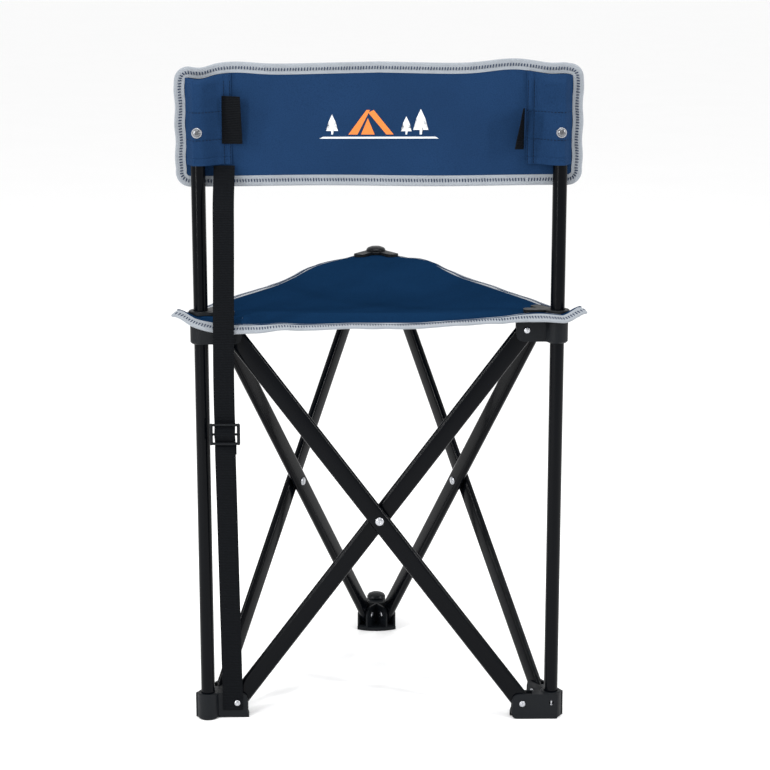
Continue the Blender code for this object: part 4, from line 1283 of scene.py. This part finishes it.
def build_sleeves():
    for corner, sign in (("left", 1), ("right", -1)):
        axis = CORNERS[corner]

        def depth_at(point):
            return sleeve_depth(sign * (point.x - axis.x), point.z, sign)

        def sleeve_point(out, z):
            return Vector((axis.x + sign * out, REAR_Y + sleeve_depth(out, z, sign), z))

        def facing(point):
            return slope_normal(depth_at, point, UP, SIDEWAYS, 0.0004)

        def point_at(share, up):
            out = mix(SLEEVE_INNER, SLEEVE_OUTER, share)
            top = back_top(axis.x + sign * out) - BACK_TAPE - 0.0004
            return sleeve_point(out, mix(SLEEVE_LOW, top, up))

        rows = grid(90, 110, point_at)
        obj = shell(f"{corner}_sleeve_cloth", rows, SLEEVE_CLOTH, facing, BACK_FABRIC)
        place(obj, f"{corner}_post", f"{corner}_sleeve", slot="navy_fabric")
        threads = bmesh.new()
        for out, z, aside, up in seam_places():
            middle = sleeve_point(out, z)
            along = sleeve_point(out + 0.001 * aside, z + 0.001 * up) - middle
            normal = facing(middle)
            middle += normal * SLEEVE_CLOTH / 2
            add_seam_stitch(threads, middle, along.normalized(), normal)
        stitches = new_object(f"{corner}_sleeve_stitches", threads, SEAM_THREAD)
        place(stitches, f"{corner}_post", slot="navy_fabric")


# ------------------------------------------------------------------------ tabs, strap
def strip(name, route, sides, width, thickness):
    """Webbing along a route, turning its width from the first side to the second."""
    rings = []
    uvs = []
    distance = 0.0
    for index, middle in enumerate(route):
        side = sides[0].lerp(sides[1], index / (len(route) - 1))
        before = route[max(index - 1, 0)]
        after = route[min(index + 1, len(route) - 1)]
        tangent = (after - before).normalized()
        across = (side - tangent * side.dot(tangent)).normalized()
        normal = tangent.cross(across)
        distance += (middle - before).length
        ring = []
        row = []
        for turn in (1, -1):
            for step in range(11):
                share = turn * (1 - step / 5)
                edge = max((1 - abs(share) ** 8) ** 0.5, 0.25)
                wide = share * width / 2
                ring.append(middle + across * wide + normal * turn * thickness / 2 * edge)
                row.append((wide + turn * 0.0001, distance))
        rings.append(ring)
        uvs.append(row)
    bm = bmesh.new()
    swept(bm, rings, uvs)
    return new_object(name, bm, WEBBING, angle=60)


def curve_through(points, step=0.0012):
    """Catmull-Rom curve through the points, sampled about every step."""
    padded = [points[0]] + points + [points[-1]]
    route = [points[0]]
    for before, first, second, after in zip(padded, padded[1:], padded[2:], padded[3:]):
        count = max(int((second - first).length / step), 1)
        for index in range(1, count + 1):
            t = index / count
            linear = (second - before) * t
            square = (before * 2 - first * 5 + second * 4 - after) * t * t
            cube = (first * 3 - before - second * 3 + after) * t * t * t
            route.append(first + (linear + square + cube) / 2)
    return route


def build_tab(corner, edge_x, sides, width):
    """Webbing tab sewn in along one edge; its free edge stands out from the sleeve."""
    low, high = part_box(f"{corner}_webbing_tab")
    edges = [Vector((edge_x, low.y - 0.0002, z)) for z in (high.z, low.z)]
    ends = [edge + side.normalized() * width / 2 for edge, side in zip(edges, sides)]
    points = []
    for share, lift in ((0, 0.0), (0.35, 0.0006), (0.7, -0.0004), (1, 0.0)):
        points.append(ends[0].lerp(ends[1], share) + REARWARD * lift)
    route = curve_through(points)
    tab = strip(f"{corner}_tab_webbing", route, sides, width, 0.0016)
    place(tab, f"{corner}_post", f"{corner}_webbing_tab", slot="webbing")
    flat = (width, length_of(route))


def build_tabs():
    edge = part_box("left_webbing_tab")[1].x
    sides = (Vector((-0.86, 0.48, -0.10)), Vector((-0.94, 0.20, -0.30)))
    build_tab("left", edge, sides, STRAP_WIDTH)
    edge = middle_of("right_webbing_tab").x
    sides = (Vector((0.12, 0.99, 0.0)), Vector((0.72, 0.69, -0.10)))
    build_tab("right", edge, sides, RIGHT_TAB_WIDTH)


def strap_route():
    """Down the left post behind it, from the backrest's hem to the foot's rivet."""
    low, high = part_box("carry_strap")
    near = BUCKLE.y - REAR_Y
    slider = BUCKLE_HALF.z
    # (depth behind the rear plane, height) of the strap: its top, the slider, its foot
    top = [(-0.0060, -0.0005), (-0.0035, -0.0050), (0.0060, -0.0170), (0.0185, -0.0330)]
    top += [(0.0240, -0.0470), (0.0255, -0.0750), (0.0255, -0.1250), (0.0255, -0.1850)]
    top += [(0.0232, -0.2350)]
    path = [(depth, high.z + drop) for depth, drop in top]
    woven = [(0, slider + 0.0120), (-BUCKLE_WEAVE, slider - 0.0010), (BUCKLE_WEAVE, 0.0010)]
    woven += [(BUCKLE_WEAVE, -0.0010), (-BUCKLE_WEAVE, 0.0010 - slider)]
    woven += [(-0.0004, -slider - 0.0130)]
    path += [(near + depth, BUCKLE.z + rise) for depth, rise in woven]
    hanging = [(0.0148, -0.0850), (0.0100, -0.1850), (0.0055, -0.2750)]
    path += [(depth, BUCKLE.z + drop) for depth, drop in hanging]
    path += [(0.0034, low.z + 0.0250), (0.0033, low.z + 0.0090), (0.0033, low.z)]
    points = []
    for depth, z in path:
        x = mix(low.x + 0.012, high.x - 0.012, (z - low.z) / (high.z - low.z))
        x -= STRAP_SWAY * smooth((z - BUCKLE.z) / (high.z - BUCKLE.z))
        points.append(Vector((x, REAR_Y + depth, z)))
    return points


def build_strap():
    flat_sides = (SIDEWAYS, SIDEWAYS)
    route = curve_through(strap_route())
    strap = strip("carry_strap_webbing", route, flat_sides, STRAP_WIDTH, 0.0015)
    place(strap, "left_post", "carry_strap", slot="webbing")
    flat = (STRAP_WIDTH, length_of(route))
    below = BUCKLE - UP * BUCKLE_HALF.z
    offsets = ((-0.0050, 0.001), (-0.0042, -0.006), (-0.0040, -0.012))
    tail = [below + Vector((-0.0012, depth, rise)) for depth, rise in offsets]
    route = curve_through(tail)
    obj = strip("carry_strap_tail", route, flat_sides, TAIL_WIDTH, 0.0014)
    place(obj, "left_post", slot="webbing")
    flat = (TAIL_WIDTH, length_of(route))


# ------------------------------------------------------------------------------- print
def print_shape(name, outlines, material):
    """Flat printed shapes on the backrest's rear; outlines are in mm from the print's foot."""
    bm = bmesh.new()
    foot = (BACK_LOW + BACK_HIGH) / 2 - 0.012
    for outline in outlines:
        bm.faces.new([bm.verts.new((-0.001 * x, 0, foot + 0.001 * z)) for x, z in outline])
    bmesh.ops.triangulate(bm, faces=bm.faces)
    for _ in range(3):
        longest = [edge for edge in bm.edges if edge.calc_length() > 0.004]
        bmesh.ops.subdivide_edges(bm, edges=longest, cuts=1, use_grid_fill=True)
        bmesh.ops.triangulate(bm, faces=bm.faces)
    lift = BACK_CLOTH / 2 + 0.0002
    solid = bmesh.ops.extrude_face_region(bm, geom=list(bm.faces))
    front = {item for item in solid["geom"] if isinstance(item, bmesh.types.BMVert)}
    for vertex in bm.verts:
        depth = lift if vertex in front else lift - 0.0006
        vertex.co = back_point(vertex.co.x, vertex.co.z, depth)
    obj = new_object(name, bm, material)
    place(obj, "left_post", slot="navy_fabric", squash=BACK_SQUASH)


def pine(x, base, height):
    """Outline of a pine tree with three tiers and a trunk."""
    wide = height * 0.30
    half = []
    for tier in range(3):
        top = base + height * (1 - 0.27 * tier)
        low = base + height * (0.62 - 0.22 * tier)
        half.append((x + wide * (0.10 + 0.14 * tier), top - height * 0.08) if tier else (x, top))
        half.append((x + wide * (0.60 + 0.20 * tier), low))
    half += [(x + wide * 0.14, base + height * 0.18), (x + wide * 0.14, base)]
    return half + [(2 * x - px, pz) for px, pz in half[:0:-1]]


def build_print():
    left_slope = [(-34, 0), (-14, 27), (-10, 27), (-24, 0)]
    right_slope = [(-12, 24), (-6, 27), (16, 0), (8, 0)]
    flap = [(-20, 0), (-12.5, 18), (-5, 0)]
    ground = [(-66, -4.5), (66, -4.5), (62, -2.5), (-62, -2.5)]
    pines = [pine(-52, 0, 22), pine(30, 0, 20), pine(46, 0, 28)]
    print_shape("print_tent", [left_slope, right_slope, flap], ORANGE_INK)
    print_shape("print_pines", pines + [ground], WHITE_INK)


# ------------------------------------------------------------------------------- stage
def aim(obj, origin, direction):
    obj.location = origin
    obj.rotation_euler = direction.to_track_quat("-Z", "Y").to_euler()
    bpy.context.scene.collection.objects.link(obj)


def build_floor():
    shader = Shader("pale_floor", roughness=0.9, specular=0.2)
    grain = shader.noise(3.0, 2.0)
    shader.colour(shader.blend(grain, rgba(0.93, 0.93, 0.93), rgba(0.95, 0.95, 0.95)))
    bm = bmesh.new()
    corners = ((-1, -1), (1, -1), (1, 1), (-1, 1))
    bm.faces.new([bm.verts.new((x * FLOOR_HALF, y * FLOOR_HALF, 0)) for x, y in corners])
    new_object("floor", bm, shader.material)


def build_stage():
    scene = bpy.context.scene
    scene.view_settings.view_transform = "Standard"
    build_floor()
    world = bpy.data.worlds.new("studio")
    world.use_nodes = True
    sky = world.node_tree.nodes["Background"]
    sky.inputs["Color"].default_value = (1, 1, 1, 1)
    sky.inputs["Strength"].default_value = SKY_STRENGTH
    scene.world = world
    for name, origin, target, size, energy in LIGHTS:
        data = bpy.data.lights.new(name, "AREA")
        data.shape = "RECTANGLE"
        data.size, data.size_y = size
        data.energy = energy
        aim(bpy.data.objects.new(name, data), origin, Vector(target) - Vector(origin))
    camera = bpy.data.cameras.new("camera")
    camera.lens = LENS
    camera.sensor_width = 36.0
    level = math.cos(CAMERA_TILT)
    ahead = (-math.sin(CAMERA_YAW) * level, -math.cos(CAMERA_YAW) * level, -math.sin(CAMERA_TILT))
    scene.camera = bpy.data.objects.new("camera", camera)
    aim(scene.camera, CAMERA_PLACE, Vector(ahead))


build_posts()
build_bars()
build_rivets()
build_screws()
build_mouldings()
build_seat_patches()
build_seat_gores()
build_seat_strips()
build_seat_tapes()
build_backrest()
build_sleeves()
build_tabs()
build_strap()
build_print()
build_stage()
